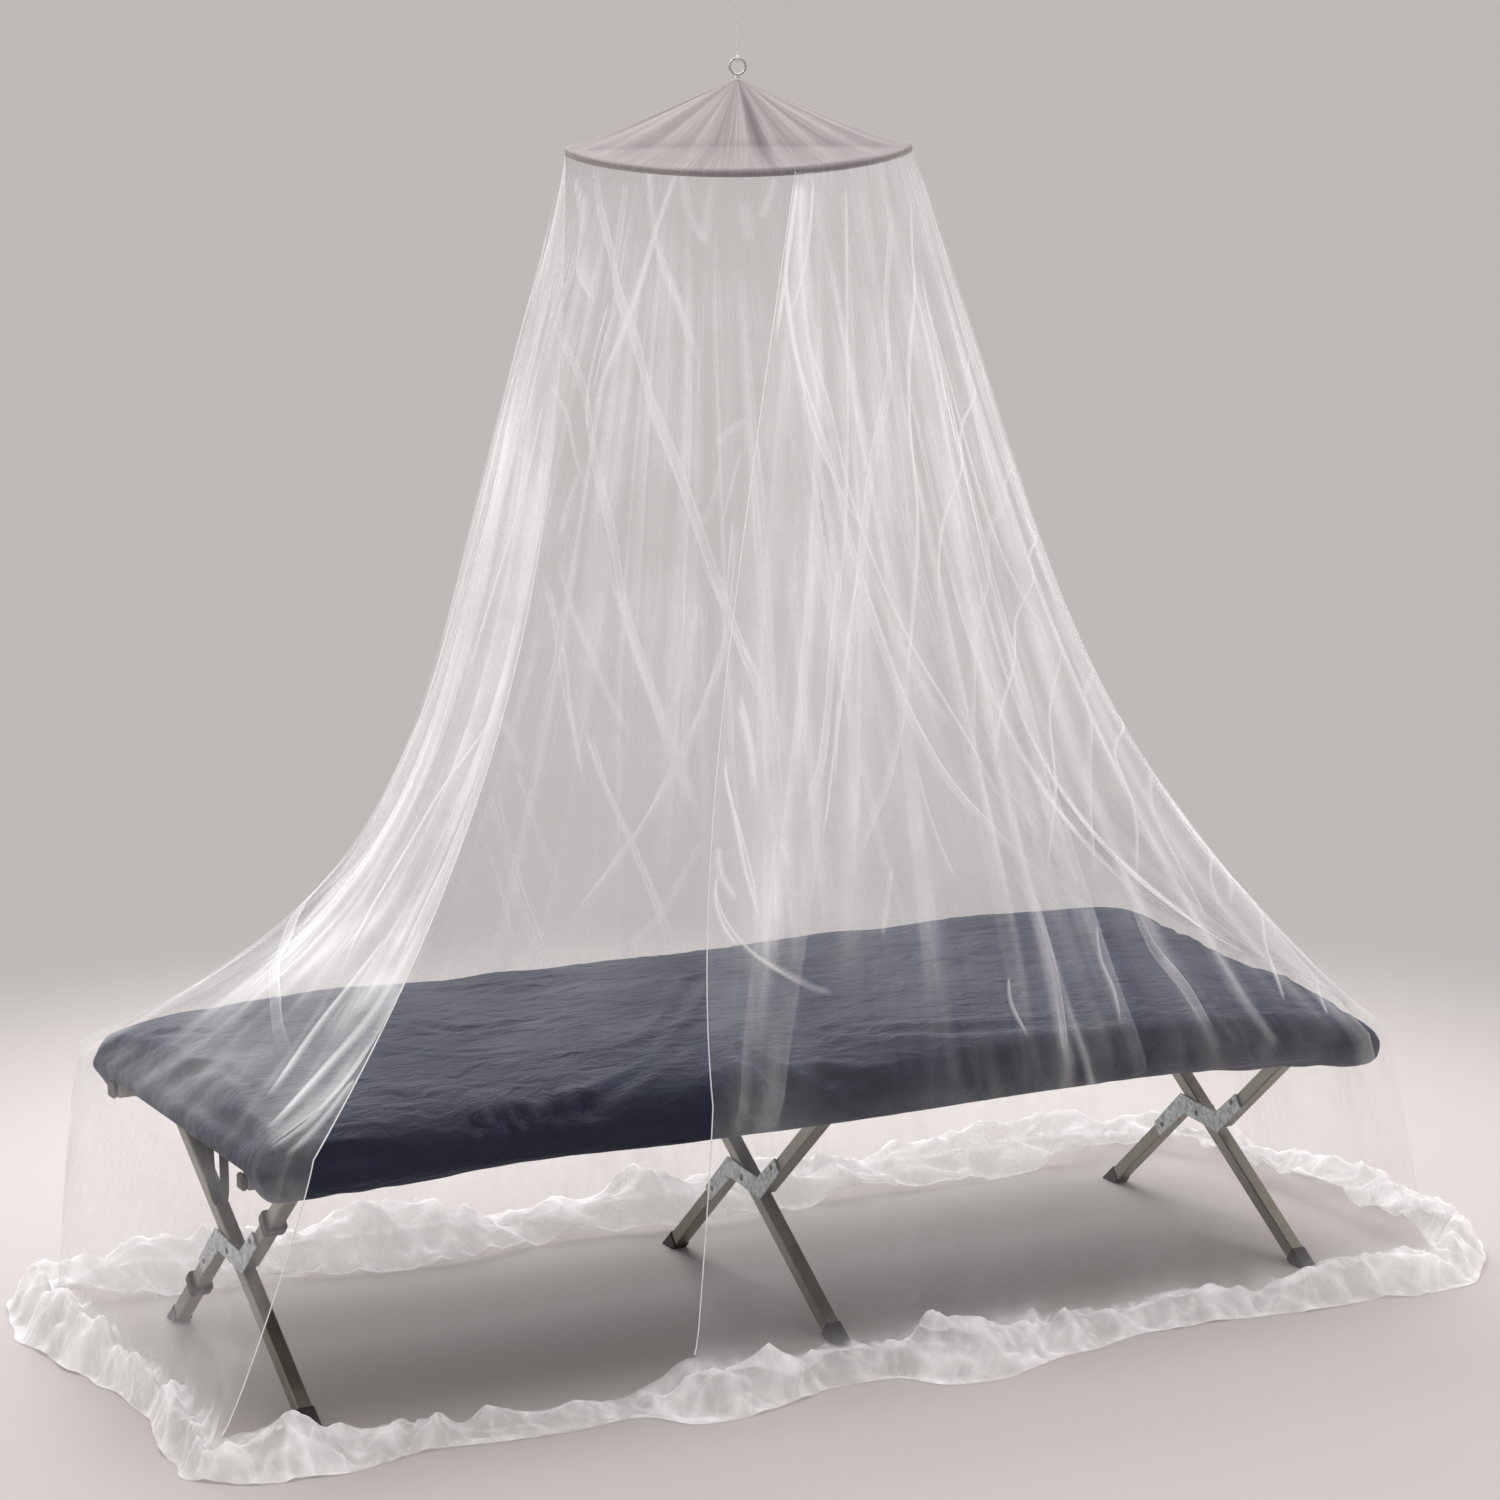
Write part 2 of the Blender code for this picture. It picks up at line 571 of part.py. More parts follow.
def cord_route():
    """The standing part, one turn of the end loop, and the tucked tail."""
    start = RING_Z + RING_OUTER / 2 + 0.0050
    out = []
    steps = 10
    for i in range(steps + 1):
        out.append(Vector((-0.0021 * smoothstep(0.3, 0.7, i / steps), 0, lerp(start, CORD_TOP, i / steps))))
    r = CORD_LOOP / 2
    centre = Vector((0, 0, CORD_TOP + 0.006 + r))
    turns = 12
    lean = math.asin(0.0021 / r) + math.radians(8)
    for i in range(turns + 1):
        a = -math.pi / 2 - lean - (2 * math.pi - 2 * lean) * i / turns
        out.append(centre + Vector((r * math.cos(a), 0, r * math.sin(a))))
    out.append(Vector((0.0021, 0, CORD_TOP)))
    out.append(Vector((0.0021, 0, CORD_TOP - 0.008)))
    out.append(Vector((0.0021, 0, CORD_TOP - 0.017)))
    # the standing part stands beside the tail under the loop
    return out


def build_cord():
    route = cord_route()
    curve = bpy.data.curves.new("hanging_cord", "CURVE")
    curve.dimensions = "3D"
    curve.bevel_depth = CORD_DIA / 2
    curve.bevel_resolution = 2
    curve.use_fill_caps = True
    spline = curve.splines.new("POLY")
    spline.points.add(len(route) - 1)
    for point, p in zip(spline.points, route):
        point.co = (p.x, p.y, p.z, 1.0)
    curve.materials.append(material("cord_white"))
    obj = bpy.data.objects.new("hanging_cord", curve)
    bpy.context.scene.collection.objects.link(obj)
    # hitch: a small ring of cord round the top of the wire
    turn = Matrix.Rotation(math.radians(RING_TURN_DEG), 4, "Z")
    middle = Vector((0, 0, RING_Z + RING_OUTER / 2 - RING_WIRE / 2 + 0.0004))
    mean, minor, around, sides = 0.0037, 0.0016, 18, 8
    verts, faces = [], []
    for i in range(around):
        a = 2 * math.pi * i / around
        away = turn @ Vector((0, math.cos(a), math.sin(a)))
        along = turn @ Vector((1, 0, 0))
        for k in range(sides):
            b = 2 * math.pi * k / sides
            verts.append(middle + away * (mean + minor * math.cos(b)) + along * (minor * 1.4 * math.sin(b)))
    for i in range(around):
        j = (i + 1) % around
        for k in range(sides):
            m = (k + 1) % sides
            faces.append((i * sides + k, i * sides + m, j * sides + m, j * sides + k))
    add_mesh("cord_hitch", verts, faces, "cord_white")
    # whipping: a wrapped sleeve round the standing part and the tail
    add_sleeve("cord_whipping", Vector((0, 0, CORD_TOP - 0.0092)), 0.0021, CORD_DIA / 2 + GAP,
               0.0014, 0.0120, "cord_white")


def add_sleeve(name, centre, half_span, inner, wall, height, mat):
    """A short hollow sleeve with a long round section."""
    ring = 16
    def outline(radius):
        pts = []
        for i in range(ring):
            a = 2 * math.pi * i / ring
            x = radius * math.cos(a) + (half_span if math.cos(a) >= 0 else -half_span)
            pts.append((x, radius * math.sin(a)))
        return pts
    scale = 1.0 / math.cos(math.pi / ring)
    inside, outside = outline(inner * scale), outline(inner * scale + wall)
    verts, faces = [], []
    for pts, z in ((outside, -height / 2), (outside, height / 2), (inside, height / 2), (inside, -height / 2)):
        for x, y in pts:
            verts.append(centre + Vector((x, y, z)))
    for layer in range(4):
        nxt = (layer + 1) % 4
        for i in range(ring):
            j = (i + 1) % ring
            faces.append((layer * ring + i, layer * ring + j, nxt * ring + j, nxt * ring + i))
    add_mesh(name, verts, faces, mat)


# --------------------------------------------------------------------- pad
def build_pad():
    inner = RAIL_Y + RAIL_SIZE / 2 + 0.0070
    sections = []
    for row in named_rows(PAD_COLUMNS, PAD):
        half, side, hang, under = row["half"], row["side"], row["hang"], row["under"]
        def skin(sign, top):
            return [
                (sign * inner, under),
                (sign * (inner + 0.002), min(under - 0.006, hang + 0.016)),
                (sign * (inner + 0.016), hang),
                (sign * (half - 0.022), hang + 0.010),
                (sign * (half - 0.004), lerp(hang, side, 0.55)),
                (sign * half, side),
                (sign * (half - 0.012), lerp(side, top, 0.62)),
                (sign * (half - 0.050), lerp(side, top, 0.93)),
                (sign * (half - 0.120), lerp(top, row["mid"], 0.30) + 0.003),
                (sign * (half - 0.220), lerp(top, row["mid"], 0.72) + 0.003),
            ]
        front = skin(-1, row["front"])
        back = skin(1, row["back"])
        loop = front + [(0.0, row["mid"])] + back[::-1]
        sections.append([(row["x"], y, z) for y, z in loop])
    ring = len(sections[0])
    verts = [p for section in sections for p in section]
    faces = []
    for s in range(len(sections) - 1):
        for k in range(ring):
            m = (k + 1) % ring
            faces.append((s * ring + k, s * ring + m, (s + 1) * ring + m, (s + 1) * ring + k))
    # end caps, each a strip of quads between the front and the back half
    for base in (0, (len(sections) - 1) * ring):
        for k in range(ring // 2):
            a, b = base + k, base + k + 1
            c, d = base + ring - 2 - k, base + ring - 1 - k
            if b == c:
                faces.append((a, b, d))
            else:
                faces.append((a, b, c, d))
    add_mesh("pad", verts, faces, "pad_navy", sharp_deg=75.0)


# --------------------------------------------------------------------- bed
def box_between(name, low, high, mat, bevel=0.0):
    work = bmesh.new()
    bmesh.ops.create_cube(work, size=1.0)
    for v in work.verts:
        v.co = Vector([lerp(low[k], high[k], v.co[k] + 0.5) for k in range(3)])
    if bevel:
        bmesh.ops.bevel(work, geom=work.edges[:], offset=bevel, segments=1, affect="EDGES")
    mesh = bpy.data.meshes.new(name)
    work.to_mesh(mesh)
    work.free()
    mesh.materials.append(material(mat))
    obj = bpy.data.objects.new(name, mesh)
    bpy.context.scene.collection.objects.link(obj)
    return obj


def bar(name, x, a, b, half, mat, cut_a=None, cut_b=None, bevel=0.002):
    """A square bar in the plane x, from a to b, both (y, z).

    cut_a and cut_b are heights of level end faces; without one the end is
    square to the bar.
    """
    a, b = Vector(a), Vector(b)
    along = (b - a).normalized()
    across = Vector((-along.y, along.x))
    corners = []
    c = half - bevel
    outline = [(-half, -c), (-half, c), (-c, half), (c, half), (half, c), (half, -c), (c, -half), (-c, -half)]
    for point, cut in ((a, cut_a), (b, cut_b)):
        for dx, dn in outline:
            p = point + across * dn
            if cut is not None:
                p = p + along * ((cut - p.y) / along.y)
            corners.append((x + dx, p.x, p.y))
    ring = len(outline)
    faces = [tuple(range(ring)), tuple(reversed(range(ring, 2 * ring)))]
    for k in range(ring):
        m = (k + 1) % ring
        faces.append((k, k + ring, m + ring, m))
    return add_mesh(name, corners, faces, mat, sharp_deg=30.0)


def build_legs():
    rail_under = RAIL_TOP - RAIL_SIZE - GAP
    rail_mid = RAIL_TOP - RAIL_SIZE / 2
    half = TUBE / 2
    # leg A: back rail to front foot
    a_top = Vector((RAIL_Y, rail_mid))
    a_foot = Vector((-FOOT_Y, 0.0))
    a_dir = (a_foot - a_top).normalized()
    # leg B: two parallel parts, steeper than leg A
    slope = math.radians(LEG_B_SLOPE_DEG)
    b_dir = Vector((math.cos(slope), -math.sin(slope)))     # toward the back foot
    b_foot = Vector((FOOT_Y, 0.0))
    b_top = Vector((LEG_B_TOP_Y, rail_mid))

    def meet(point, direction):
        """Where a line crosses leg A's centre line."""
        det = direction.x * (-a_dir.y) - direction.y * (-a_dir.x)
        rel = a_top - point
        t = (rel.x * (-a_dir.y) - rel.y * (-a_dir.x)) / det
        return point + direction * t

    low_meet = meet(b_foot, -b_dir)
    high_meet = meet(b_top, b_dir)
    low_end = low_meet + b_dir * LEG_B_STOP
    high_end = high_meet - b_dir * LEG_B_STOP
    crossing = (low_meet + high_meet) / 2
    for i, x in enumerate(PAIR_X, 1):
        a_cap = a_foot - a_dir * FOOT_LENGTH
        b_cap = b_foot - b_dir * FOOT_LENGTH
        bar("leg_a_%d" % i, x, a_top, a_cap - a_dir * GAP, half, "aluminium_olive", cut_a=rail_under)
        bar("leg_b_upper_%d" % i, x, b_top, high_end, half, "aluminium_olive", cut_a=rail_under)
        bar("leg_b_lower_%d" % i, x, low_end, b_cap - b_dir * GAP, half, "aluminium_olive")
        bar("foot_front_%d" % i, x, a_cap, a_foot, half + 0.002, "plastic_dark", cut_b=0.0, bevel=0.003)
        bar("foot_back_%d" % i, x, b_cap, b_foot, half + 0.002, "plastic_dark", cut_b=0.0, bevel=0.003)
        # bracket plate on the left side of the bars
        line = [low_end + b_dir * 0.098, low_end - b_dir * 0.004,
                high_end + b_dir * 0.004, high_end - b_dir * 0.080]
        width = [0.013, 0.017, 0.017, 0.013]
        upper, lower = [], []
        for k, p in enumerate(line):
            d1 = (p - line[k - 1]).normalized() if k else (line[1] - p).normalized()
            d2 = (line[k + 1] - p).normalized() if k < 3 else d1
            d = (d1 + d2).normalized()
            n = Vector((d.y, -d.x))
            upper.append(p + n * width[k])
            lower.append(p - n * width[k])
        outline = upper + lower[::-1]
        near = x - half - GAP - PLATE_THICK
        verts = [(near, p.x, p.y) for p in outline] + [(near + PLATE_THICK, p.x, p.y) for p in outline]
        ring = len(outline)
        faces = []
        for k in range(ring // 2 - 1):
            q = (k, k + 1, ring - 2 - k, ring - 1 - k)
            faces.append(q)
            faces.append(tuple(ring + m for m in reversed(q)))
        for k in range(ring):
            m = (k + 1) % ring
            faces.append((k, k + ring, m + ring, m))
        add_mesh("bracket_%d" % i, verts, faces, "plate_zinc", sharp_deg=25.0)
    # collars round leg B of the left pair
    x = PAIR_X[0]
    high = b_top + (high_end - b_top) * 0.56
    low = b_foot + (low_end - b_foot) * 0.46
    for k, centre in enumerate((high, low), 1):
        add_collar("leg_collar_%d" % k, x, centre, b_dir, half + GAP, 0.0055, 0.018)
    return crossing


def add_collar(name, x, centre, along, inner, wall, length):
    """A square clip with round shoulders, all round a leg."""
    across = Vector((-along.y, along.x))
    def ring_points(size, round_off):
        pts = []
        for cx, cy, a0 in ((1, 1, 0), (-1, 1, 90), (-1, -1, 180), (1, -1, 270)):
            for step in range(3):
                a = math.radians(a0 + 45 * step)
                c = size - round_off
                pts.append((cx * c + round_off * math.cos(a), cy * c + round_off * math.sin(a)))
        return pts
    outside, inside = ring_points(inner + wall, wall), ring_points(inner, 0.0006)
    verts, faces = [], []
    ring = len(outside)
    for pts, s in ((outside, -0.5), (outside, 0.5), (inside, 0.5), (inside, -0.5)):
        for px, pn in pts:
            p = centre + across * pn + along * (s * length)
            verts.append((x + px, p.x, p.y))
    for layer in range(4):
        nxt = (layer + 1) % 4
        for k in range(ring):
            m = (k + 1) % ring
            faces.append((layer * ring + k, layer * ring + m, nxt * ring + m, nxt * ring + k))
    add_mesh(name, verts, faces, "plastic_dark", sharp_deg=35.0)


def build_bed():
    half = RAIL_SIZE / 2
    number = 1
    for name, side in (("side_rail_front", -1), ("side_rail_back", 1)):
        y = side * RAIL_Y
        box_between(name, (RAIL_X[0], y - half, RAIL_TOP - RAIL_SIZE), (RAIL_X[1], y + half, RAIL_TOP),
                    "aluminium_olive", 0.002)
        for end, sign in ((RAIL_X[0], -1), (RAIL_X[1], 1)):
            a, b = end + sign * GAP, end + sign * (GAP + 0.010)
            box_between("rail_cap_%d" % number, (min(a, b), y - half, RAIL_TOP - RAIL_SIZE),
                        (max(a, b), y + half, RAIL_TOP), "plastic_dark", 0.003)
            number += 1
    # deck: a flat sheet over the rails, turned down along their outer sides
    inner = RAIL_Y + half + GAP
    outer = inner + DECK_THICK
    low = RAIL_TOP - DECK_SKIRT
    base = RAIL_TOP + GAP
    top = base + DECK_THICK
    outline = [(-outer, low), (-inner, low), (-inner, base), (inner, base), (inner, low), (outer, low),
               (outer, top), (-outer, top)]
    verts = [(DECK_X[0], y, z) for y, z in outline] + [(DECK_X[1], y, z) for y, z in outline]
    faces = []
    for base_index, flip in ((0, False), (8, True)):
        for q in ((0, 1, 2, 7), (7, 2, 3, 6), (6, 3, 4, 5)):
            q = tuple(base_index + k for k in q)
            faces.append(q[::-1] if flip else q)
    for k in range(8):
        m = (k + 1) % 8
        faces.append((k, k + 8, m + 8, m))
    add_mesh("bed_deck", verts, faces, "deck_grey", smooth=False)
    # strap: a webbing loop that hangs from the deck at the left end
    x0, wide, thick = -0.904, 0.014, 0.0018
    path = [(0.034, RAIL_TOP - 0.0003), (0.036, 0.345), (0.030, 0.300), (0.010, 0.272), (-0.012, 0.270),
            (-0.028, 0.290), (-0.030, 0.340), (-0.026, RAIL_TOP - 0.0003)]
    left, right = [], []
    for k, (y, z) in enumerate(path):
        p = Vector((y, z))
        before = Vector(path[max(0, k - 1)])
        after = Vector(path[min(len(path) - 1, k + 1)])
        d = (after - before).normalized()
        if k in (0, len(path) - 1):
            d = Vector((0, -1 if k == 0 else 1))
        n = Vector((d.y, -d.x))
        left.append(p + n * thick / 2)
        right.append(p - n * thick / 2)
    ring = left + right[::-1]
    count = len(ring)
    verts = [(x0, p.x, p.y) for p in ring] + [(x0 + wide, p.x, p.y) for p in ring]
    faces = []
    for k in range(len(path) - 1):
        q = (k, k + 1, count - 2 - k, count - 1 - k)
        faces.append(q)
        faces.append(tuple(count + m for m in reversed(q)))
    for k in range(count):
        m = (k + 1) % count
        faces.append((k, k + count, m + count, m))
    add_mesh("deck_strap", verts, faces, "strap_dark", sharp_deg=50.0)


def centre_on_origin():
    """Move everything so that the outer box stands centred on the origin."""
    bpy.context.view_layer.update()
    low, high = [1e9, 1e9], [-1e9, -1e9]
    for obj in bpy.data.objects:
        if obj.type != "MESH" or obj.hide_render:
            continue
        for v in obj.data.vertices:
            for k in range(2):
                low[k] = min(low[k], v.co[k])
                high[k] = max(high[k], v.co[k])
    shift = Vector((-(low[0] + high[0]) / 2, -(low[1] + high[1]) / 2, 0.0))
    for obj in bpy.data.objects:
        obj.location = obj.location + shift


def main():
    clear_scene()
    build_roof()
    right, left = build_skirt()
    build_binding("opening_edge_right", right, lambda p: Vector((-1, 0, 0)))
    build_binding("opening_edge_left", left, lambda p: Vector((0.25, -1, 0)).normalized())
    build_hoop()
    build_ring()
    build_cord()
    build_pad()
    build_bed()
    build_legs()
    centre_on_origin()


main()
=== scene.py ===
"""Looks of a mosquito net canopy that hangs over a padded camp bed.

Metres, +Z up. The shapes below are worked out about the middle of the bed,
and are moved by SHIFT to the row's own origin.
"""
import math

import bmesh
import bpy
import numpy as np
from mathutils import Matrix, Vector, noise


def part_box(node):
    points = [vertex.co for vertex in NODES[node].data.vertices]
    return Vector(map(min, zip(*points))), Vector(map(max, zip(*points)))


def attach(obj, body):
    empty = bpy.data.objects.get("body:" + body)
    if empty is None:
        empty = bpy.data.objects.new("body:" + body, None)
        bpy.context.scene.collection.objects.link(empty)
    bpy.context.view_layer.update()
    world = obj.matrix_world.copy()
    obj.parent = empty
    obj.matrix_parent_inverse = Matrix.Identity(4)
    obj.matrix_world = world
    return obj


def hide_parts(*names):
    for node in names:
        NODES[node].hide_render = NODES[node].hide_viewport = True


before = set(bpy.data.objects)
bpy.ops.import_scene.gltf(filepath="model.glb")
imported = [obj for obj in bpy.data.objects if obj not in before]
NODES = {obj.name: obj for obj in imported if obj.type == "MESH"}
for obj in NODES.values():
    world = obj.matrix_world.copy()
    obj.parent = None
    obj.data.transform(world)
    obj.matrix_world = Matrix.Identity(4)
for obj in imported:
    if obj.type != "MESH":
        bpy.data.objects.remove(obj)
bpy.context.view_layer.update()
hoop_low, hoop_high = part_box("spreader_hoop")
SHIFT = np.array([(hoop_low.x + hoop_high.x) / 2, (hoop_low.y + hoop_high.y) / 2, 0.0])

# -------------------------------------------------------------- dimensions
HOOP_RADIUS = 0.263
HOOP_Z = 1.836
HOOP_DROP = 0.030
HOOP_DROP_DEG = 243.8
APEX_Z = 1.943
SEAM_OFFSET = 0.0055
RING_Z = 1.9615
RING_OUTER = 0.028
CORD_DIA = 0.0036
CORD_TOP = 2.0880
CORD_LOOP = 0.0280
RAIL_Y = 0.303
RAIL_SIZE = 0.024
RAIL_TOP = 0.398
DECK_X = (-0.930, 0.900)
PAIR_X = (-0.869, 0.005, 0.869)
TUBE = 0.024

RIB_COLUMNS = ("steps", "hoop", "ex", "ey", "ez", "lean", "power",
               "fx", "fy", "fz", "hx", "hy", "crest")
RIBS = [
    (2, -97.3, -0.266, -0.428, 0.440, 1.60, 4.0, -0.300, -0.432, 0.060, -0.330, -0.560, 0.048),
    (4, -86.0, -0.060, -0.430, 0.440, 1.30, 3.6, -0.060, -0.436, 0.045, -0.020, -0.508, 0.040),
    (4, -70.0, 0.220, -0.430, 0.442, 0.95, 3.2, 0.230, -0.432, 0.045, 0.100, -0.585, 0.046),
    (4, -55.0, 0.480, -0.430, 0.440, 0.74, 3.3, 0.500, -0.432, 0.042, 0.500, -0.500, 0.040),
    (4, -42.0, 0.720, -0.432, 0.432, 0.60, 3.4, 0.760, -0.434, 0.045, 0.800, -0.520, 0.046),
    (3, -32.0, 0.905, -0.436, 0.412, 0.51, 3.6, 0.965, -0.438, 0.050, 1.010, -0.540, 0.050),
    (3, -24.0, 0.972, -0.350, 0.412, 0.50, 3.9, 1.050, -0.380, 0.055, 1.175, -0.400, 0.055),
    (3, -10.0, 0.984, -0.150, 0.430, 0.42, 5.5, 1.060, -0.160, 0.060, 1.235, -0.150, 0.060),
    (3, 8.0, 0.986, 0.120, 0.445, 0.42, 5.5, 1.055, 0.130, 0.060, 1.205, 0.130, 0.055),
    (3, 22.0, 0.980, 0.340, 0.460, 0.46, 4.5, 1.045, 0.360, 0.050, 1.165, 0.440, 0.054),
    (4, 31.0, 0.900, 0.440, 0.468, 0.52, 3.9, 0.975, 0.420, 0.020, 1.010, 0.585, 0.052),
    (4, 46.0, 0.660, 0.440, 0.472, 0.70, 3.4, 0.690, 0.400, 0.010, 0.710, 0.600, 0.062),
    (4, 61.0, 0.400, 0.438, 0.476, 0.75, 3.0, 0.410, 0.395, 0.009, 0.420, 0.625, 0.046),
    (4, 76.0, 0.140, 0.438, 0.474, 0.78, 3.0, 0.140, 0.372, 0.009, 0.130, 0.600, 0.066),
    (4, 92.0, -0.120, 0.438, 0.470, 0.78, 3.0, -0.130, 0.390, 0.009, -0.140, 0.630, 0.048),
    (4, 107.0, -0.380, 0.438, 0.468, 0.74, 3.2, -0.390, 0.368, 0.009, -0.400, 0.605, 0.078),
    (4, 120.0, -0.620, 0.440, 0.466, 0.68, 3.8, -0.640, 0.392, 0.009, -0.640, 0.625, 0.056),
    (4, 131.0, -0.840, 0.442, 0.460, 0.45, 8.0, -0.900, 0.420, 0.016, -0.930, 0.610, 0.060),
    (3, 139.0, -0.980, 0.400, 0.446, 0.45, 8.0, -1.030, 0.400, 0.055, -1.085, 0.540, 0.074),
    (3, 144.0, -0.994, 0.220, 0.448, 0.44, 7.4, -1.036, 0.240, 0.070, -1.125, 0.220, 0.070),
    (3, 148.0, -0.998, 0.000, 0.448, 0.42, 6.6, -1.030, 0.000, 0.065, -1.075, -0.020, 0.060),
    (3, 152.0, -0.994, -0.220, 0.446, 0.32, 5.0, -1.020, -0.220, 0.060, -1.085, -0.240, 0.056),
    (3, 155.0, -0.978, -0.400, 0.440, 0.20, 3.6, -1.030, -0.352, 0.058, -1.095, -0.388, 0.052),
    (3, 158.0, -0.903, -0.436, 0.442, 0.10, 2.75, -1.044, -0.424, 0.050, -1.056, -0.490, 0.044),
    (3, 171.0, 0.0, 0.0, 0.0, 0.0, 1.0, -0.900, -0.396, 0.040, -0.900, -0.512, 0.060),
    (3, 195.0, 0.0, 0.0, 0.0, 0.0, 1.0, -0.720, -0.420, 0.012, -0.740, -0.492, 0.036),
    (3, 215.0, 0.0, 0.0, 0.0, 0.0, 1.0, -0.580, -0.410, 0.010, -0.580, -0.500, 0.030),
    (3, 238.0, 0.0, 0.0, 0.0, 0.0, 1.0, -0.420, -0.420, 0.010, -0.430, -0.488, 0.016),
]
LEFT_EDGE_ROW = 23

FOLDS = [
    (-88.0, -90.0, 3.6, 0.019), (-79.0, -64.0, 3.8, 0.022), (-63.0, -52.0, 4.0, 0.018),
    (-50.0, -40.0, 4.0, 0.022), (-38.0, -31.0, 3.6, 0.019), (-27.0, -22.0, 3.2, 0.016),
    (-12.0, -8.0, 4.5, 0.019), (6.0, 10.0, 4.5, 0.018), (20.0, 25.0, 3.6, 0.018),
    (38.0, 40.0, 4.0, 0.022), (52.0, 60.0, 4.5, 0.024), (70.0, 66.0, 4.5, 0.019),
    (84.0, 92.0, 4.5, 0.024), (99.0, 96.0, 4.0, 0.019), (112.0, 118.0, 4.5, 0.024),
    (126.0, 124.0, 3.6, 0.019), (134.0, 135.0, 3.0, 0.016), (141.0, 142.0, 2.4, 0.014),
    (146.5, 147.0, 2.2, 0.014), (151.5, 151.0, 2.0, 0.014),
]
LOBES = [
    (-92.0, 3.5, 0.024), (-76.0, 5.0, 0.026), (-62.0, 3.5, -0.004),
    (-47.0, 4.5, 0.014), (-36.0, 3.0, -0.012), (-17.0, 4.0, 0.012),
    (2.0, 4.0, -0.012), (16.0, 3.5, 0.014), (40.0, 4.0, 0.012),
    (54.0, 4.0, -0.014), (84.0, 4.0, 0.014), (101.0, 4.0, -0.014),
    (125.0, 4.0, 0.012), (146.0, 1.8, 0.010), (153.5, 1.6, -0.010),
    (164.0, 4.0, 0.012), (183.0, 5.0, -0.014), (226.0, 5.0, 0.012),
]
PAD_COLUMNS = ("x", "half", "back", "mid", "front", "side", "hang", "under")
PAD = [
    (-0.968, 0.392, 0.424, 0.428, 0.416, 0.408, 0.394, 0.4010),
    (-0.952, 0.406, 0.438, 0.440, 0.432, 0.410, 0.376, 0.4016),
    (-0.934, 0.408, 0.456, 0.458, 0.450, 0.416, 0.362, 0.4022),
    (-0.820, 0.412, 0.474, 0.478, 0.462, 0.420, 0.356, 0.4030),
    (-0.560, 0.404, 0.482, 0.486, 0.464, 0.422, 0.358, 0.4030),
    (-0.280, 0.398, 0.482, 0.490, 0.466, 0.420, 0.352, 0.4030),
    (0.000, 0.400, 0.482, 0.489, 0.464, 0.420, 0.350, 0.4030),
    (0.260, 0.404, 0.482, 0.488, 0.466, 0.424, 0.356, 0.4030),
    (0.520, 0.402, 0.486, 0.488, 0.462, 0.424, 0.358, 0.4030),
    (0.740, 0.406, 0.484, 0.476, 0.450, 0.414, 0.352, 0.4030),
    (0.870, 0.410, 0.476, 0.458, 0.432, 0.402, 0.346, 0.4030),
    (0.912, 0.410, 0.468, 0.448, 0.420, 0.396, 0.342, 0.4020),
    (0.942, 0.404, 0.454, 0.430, 0.404, 0.386, 0.342, 0.3820),
    (0.954, 0.380, 0.434, 0.412, 0.392, 0.376, 0.350, 0.3700),
]


# ------------------------------------------------------------------ camera
def make_camera():
    place = Vector((-2.889006, -5.897159, 2.014041)) + Vector(SHIFT)
    yaw, pitch, roll, focal = 0.4568176, -0.169369, -0.01005227, 4200.3
    d = Vector((math.sin(yaw) * math.cos(pitch), math.cos(yaw) * math.cos(pitch), math.sin(pitch)))
    r = d.cross(Vector((0, 0, 1))).normalized()
    u = r.cross(d)
    r2 = r * math.cos(roll) + u * math.sin(roll)
    u2 = u * math.cos(roll) - r * math.sin(roll)
    data = bpy.data.cameras.new("camera")
    data.sensor_width = 36.0
    data.lens = focal / 1500.0 * 36.0
    data.clip_start, data.clip_end = 0.1, 100.0
    cam = bpy.data.objects.new("camera", data)
    bpy.context.scene.collection.objects.link(cam)
    turn = Matrix((r2, u2, -d)).transposed()
    cam.matrix_world = Matrix.Translation(place) @ turn.to_4x4()
    bpy.context.scene.camera = cam


# ----------------------------------------------------------------- helpers
def smooth(a, b, x):
    t = np.clip((np.asarray(x, float) - a) / (b - a), 0.0, 1.0)
    return t * t * (3.0 - 2.0 * t)


def catmull(p0, p1, p2, p3, t):
    return 0.5 * (2 * p1 + (p2 - p0) * t + (2 * p0 - 5 * p1 + 4 * p2 - p3) * t * t
                  + (3 * p1 - p0 - 3 * p2 + p3) * t ** 3)


def spline(points, count):
    """A smooth curve through the points, as count points."""
    pts = np.array(points, float)
    n = len(pts)
    out = []
    for s in np.linspace(0, n - 1, count):
        i = min(int(s), n - 2)
        t = s - i
        out.append(catmull(pts[max(0, i - 1)], pts[i], pts[i + 1], pts[min(n - 1, i + 2)], t))
    return np.array(out)


def noise_field(points, scale, seed=0.0, detail=0):
    """Smooth noise at each point, about -1 to 1."""
    out = np.empty(len(points))
    off = Vector((seed * 7.31, seed * 3.17, seed * 11.9))
    for i, p in enumerate(points):
        v = Vector((p[0] * scale, p[1] * scale, p[2] * scale)) + off
        if detail:
            out[i] = noise.fractal(v, 1.0, 2.0, detail + 1)
        else:
            out[i] = noise.noise(v)
    return out


